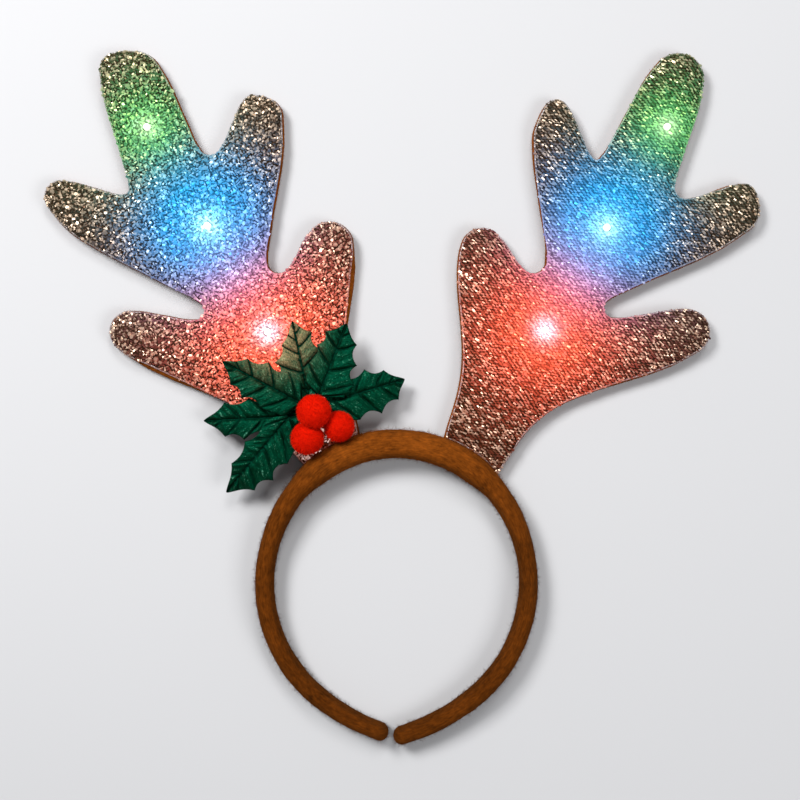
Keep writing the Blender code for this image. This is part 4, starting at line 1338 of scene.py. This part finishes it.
class BuildHolly(bpy.types.Operator):
    """Six spiny satin leaves with pressed veins"""

    bl_idname = "headband.build_holly"
    bl_label = "Holly leaves"

    def execute(self, context):
        settings = context.scene.headband_holly
        satin = satin_finish(settings)
        for name in HOLLY_LEAVES:
            leaf, width, length, area = self.build_leaf(name, satin, settings)
            keep(leaf, "holly_satin", name)
        return {"FINISHED"}

    def build_leaf(self, name, satin, settings):
        x, y, z, heading, length, droop = HOLLY_LEAVES[name]
        along = Vector((math.cos(math.radians(heading)), math.sin(math.radians(heading))))
        across = Vector((-along.y, along.x))
        root = Vector((x, y)) * MM
        length *= MM
        marks = {step / LEAF_ROWS for step in range(LEAF_ROWS + 1)}
        marks |= {share for rows in HOLLY_PRICKLES[name] for share, _ in rows}
        shares = sorted(marks)
        shares = [s for s, after in zip(shares, shares[1:] + [2.0]) if after - s > 1e-4]
        veins = self.veins(name, length, settings.half_width)
        spots = [k / LEAF_COLUMNS for k in range(-LEAF_COLUMNS, LEAF_COLUMNS + 1)]
        top, under, uvs, streaks, pressed = [], [], [], [], []
        for share in shares:
            fall = max(0.0, (share - DROOP_START) / (1.0 - DROOP_START)) ** 2 * droop * MM
            reaches = [blade_reach(share, rows) * settings.half_width for rows in HOLLY_PRICKLES[name]]
            for spot in spots:
                offset = spot * (reaches[0] if spot > 0 else reaches[1])
                place = root + along * (length * share) + across * offset
                lobe, groove = self.lobe(length * share, offset, veins)
                edge = 1.0 - abs(spot) ** 4
                puff = settings.puff * (0.26 + (0.66 * lobe - 0.36 * groove) * (0.25 + 0.75 * edge))
                streak = Vector((length * share - 0.65 * abs(offset), offset * 0.45, 0.01 * heading))
                level = z * MM - fall
                height = level + puff + lumps(streak, CREASES) * MM * edge
                top.append((*place, height + LEAF_EDGE))
                under.append((*place, min(height - LEAF_LEAST_THICKNESS, level) - LEAF_EDGE))
                uvs.append((length * share, offset))
                streaks.append((length * share - 0.65 * abs(offset), offset * 0.35))
                pressed.append(groove)
        count, columns = len(top), len(spots)
        leaf = piece_from(name + "_satin", top + under, leaf_faces(len(shares), columns), satin)
        for label, rows in (("blade", uvs), ("streaks", streaks)):
            layer = leaf.data.uv_layers.new(name=label)
            for loop in leaf.data.loops:
                layer.data[loop.index].uv = rows[loop.vertex_index % count]
        set_attribute(leaf, "vein", "FLOAT", pressed + pressed)
        flat = np.array(uvs).reshape(len(shares), columns, 2)
        widths = flat[:, -1, 1] - flat[:, 0, 1]
        area = float((np.diff(flat[:, 0, 0]) * (widths[1:] + widths[:-1])).sum() / 2)
        width = float(flat[:, -1, 1].max() - flat[:, 0, 1].min())
        return leaf, width, length, area

    @staticmethod
    def veins(name, length, half_width):
        """For each side, its veins from stem to tip: start on the rib, then the tip's place and offset."""
        sides = []
        for rows in HOLLY_PRICKLES[name]:
            made = [(0.0, length * 0.13, half_width * 0.8)]
            for step, (share, reach) in enumerate(rows):
                lean = VEIN_LEAN * (1.15 - 0.2 * step)
                made.append((length * max(0.03, share - lean), length * share, half_width * reach))
            last = rows[-1][0]
            made.append((length * (last + 0.02), length * (last + 0.13), half_width * 0.30))
            sides.append(made)
        return sides

    @staticmethod
    def lobe(along, offset, veins):
        """Height share of the puffed cloth between two veins, and how deep in a vein the place is."""
        behind, ahead = along + 6.0 * MM, -6.0 * MM
        for start, end, tip in veins[0 if offset > 0.0 else 1]:
            past = along - start - (end - start) * min(1.3, abs(offset) / tip) ** 1.25
            if past >= 0.0:
                behind = min(behind, past)
            else:
                ahead = max(ahead, past)
        share = behind / (behind - ahead)
        lobe = min(1.0, share / 0.20) ** 0.7 * (1.0 - share) ** 0.45
        rib = 1.0 - math.exp(-(offset / RIB_WIDTH) ** 2)
        groove = math.exp(-(min(behind, -ahead, abs(offset)) / VEIN_WIDTH) ** 2)
        return lobe * rib, groove


# Pompoms

CORE_SHARE = 0.90
BALL_GAP = 0.25 * MM


class BuildPompoms(bpy.types.Operator):
    """Three small pompoms of cut yarn, pressed flat where they meet"""

    bl_idname = "headband.build_pompoms"
    bl_label = "Pompoms"

    def execute(self, context):
        settings = context.scene.headband_pompoms
        yarn = yarn_finish("pompom_yarn", settings.yarn)
        for number, name in enumerate(POMPOMS):
            ball = link_piece(name + "_ball", self.ball(name, number))
            ball.data.materials.append(yarn.material)
            set_fuzz(ball, -1.0)
            tufts = pattern(fuzz_pattern).mesh_over(ball, name + "_tufts", {
                "Density": settings.tufts, "Length": settings.tuft_length, "Radius": 0.085 * MM, "Bends": 1,
                "Stand": 0.85, "Lay": 0.0, "Spread": 0.65, "Curl": 0.35 * MM, "Curl Scale": 900.0,
                "Sink": 0.0, "Seed": 31 + number, "Finish": yarn.material})
            keep(ball, "pompom_red", name)
            keep(tufts, "pompom_red")
        return {"FINISHED"}

    @staticmethod
    def ball(name, number):
        """A lumpy ball that stops halfway to each of its neighbours."""
        x, y, z, radius = POMPOMS[name]
        centre = Vector((x, y, z)) * MM
        others = [(Vector(row[:3]) * MM, row[3] * MM) for other, row in POMPOMS.items() if other != name]
        builder = bmesh.new()
        bmesh.ops.create_icosphere(builder, subdivisions=5, radius=1.0)
        for vert in builder.verts:
            out = vert.co.normalized()
            lump = noise.noise(out * 3.1 + Vector((number * 9.0, 0.0, 0.0))) * 0.035
            lump += noise.noise(out * 11.0 + Vector((0.0, number * 9.0, 0.0))) * 0.022
            reach = radius * MM * (CORE_SHARE + lump)
            for other_centre, other_radius in others:
                gap = other_centre - centre
                facing = out.dot(gap.normalized())
                powers = (radius * MM) ** 2 - other_radius ** 2
                halfway = (gap.length_squared + powers) / (2 * gap.length)
                if facing > 0.0:
                    reach = min(reach, (halfway - BALL_GAP) / facing)
            vert.co = centre + out * reach
        mesh = bpy.data.meshes.new(name + "_ball")
        builder.to_mesh(mesh)
        builder.free()
        mesh.polygons.foreach_set("use_smooth", [True] * len(mesh.polygons))
        return mesh


# Stage

FLOOR_HALF = 2.5
FLOOR_HEIGHT = -0.05 * MM
CAMERA_AIM = (-0.82, -1.37, 7.0)
ROOM_LIGHT = (0.16, 0.165, 0.175, 1.0)
SOFTBOXES = (
    # name, place, size, power
    ("key", (-0.55, 0.50, 0.85), 0.36, 12.0),
    ("fill", (0.70, -0.30, 0.85), 0.50, 4.5),
    ("top", (0.15, 0.75, 1.00), 0.40, 5.0),
)


class BuildStage(bpy.types.Operator):
    """Pale floor, soft lights and the camera, straight above as in the photograph"""

    bl_idname = "headband.build_stage"
    bl_label = "Stage"

    def execute(self, context):
        settings = context.scene.headband_stage
        scene = context.scene
        floor_finish = Finish("plain_floor", Roughness=0.85, Specular_IOR_Level=0.2)
        floor_finish.set("Base Color", (*settings.floor, 1.0))
        corners = [(x * FLOOR_HALF, y * FLOOR_HALF, FLOOR_HEIGHT)
                   for x, y in ((-1, -1), (1, -1), (1, 1), (-1, 1))]
        floor = piece_from("floor", corners, [(0, 1, 2, 3)], floor_finish)
        for name, place, size, power in SOFTBOXES:
            light = bpy.data.lights.new(name, "AREA")
            light.shape = "SQUARE"
            light.size = size
            light.energy = power
            box = bpy.data.objects.new(name, light)
            box.location = place
            box.rotation_euler = (-Vector(place)).to_track_quat("-Z", "Y").to_euler()
            scene.collection.objects.link(box)
        world = bpy.data.worlds.new("studio")
        world.use_nodes = True
        world.node_tree.nodes["Background"].inputs["Color"].default_value = ROOM_LIGHT
        scene.world = world
        scene.view_settings.view_transform = "Standard"
        lens = bpy.data.cameras.new("camera")
        lens.sensor_width = 36.0
        lens.lens = 36.0 * settings.distance / settings.view_width
        lens.clip_start = 0.01
        camera = bpy.data.objects.new("camera", lens)
        camera.location = Vector(CAMERA_AIM) * MM + Vector((0.0, 0.0, settings.distance))
        scene.collection.objects.link(camera)
        scene.camera = camera
        return {"FINISHED"}


# Add-on

SETTINGS = (
    ("headband_band", BandSettings), ("headband_antlers", AntlerSettings),
    ("headband_holly", HollySettings), ("headband_pompoms", PompomSettings),
    ("headband_stage", StageSettings),
)
OPERATORS = (
    BuildBand, BuildFeltBacks, BuildGlitterCloths, BuildLamps, BuildHolly, BuildPompoms, BuildStage)


class HeadbandPanel(bpy.types.Panel):
    """Lists the headband's settings and pieces in the 3D view's sidebar"""

    bl_idname = "VIEW3D_PT_headband"
    bl_label = "Headband"
    bl_space_type = "VIEW_3D"
    bl_region_type = "UI"
    bl_category = "Headband"

    def draw(self, context):
        for name, group in SETTINGS:
            box = self.layout.box()
            for key in group.__annotations__:
                box.prop(getattr(context.scene, name), key)
        for operator in OPERATORS:
            self.layout.operator(operator.bl_idname)


def register():
    for name, group in SETTINGS:
        bpy.utils.register_class(group)
        setattr(bpy.types.Scene, name, PointerProperty(type=group))
    for item in (*OPERATORS, HeadbandPanel):
        bpy.utils.register_class(item)


def unregister():
    for item in reversed((*OPERATORS, HeadbandPanel)):
        bpy.utils.unregister_class(item)
    for name, group in reversed(SETTINGS):
        delattr(bpy.types.Scene, name)
        bpy.utils.unregister_class(group)


def main():
    register()
    bpy.ops.headband.build_band()
    bpy.ops.headband.build_felt_backs()
    bpy.ops.headband.build_glitter_cloths()
    bpy.ops.headband.build_lamps()
    bpy.ops.headband.build_holly()
    bpy.ops.headband.build_pompoms()
    bpy.ops.headband.build_stage()


if __name__ == "__main__":
    main()
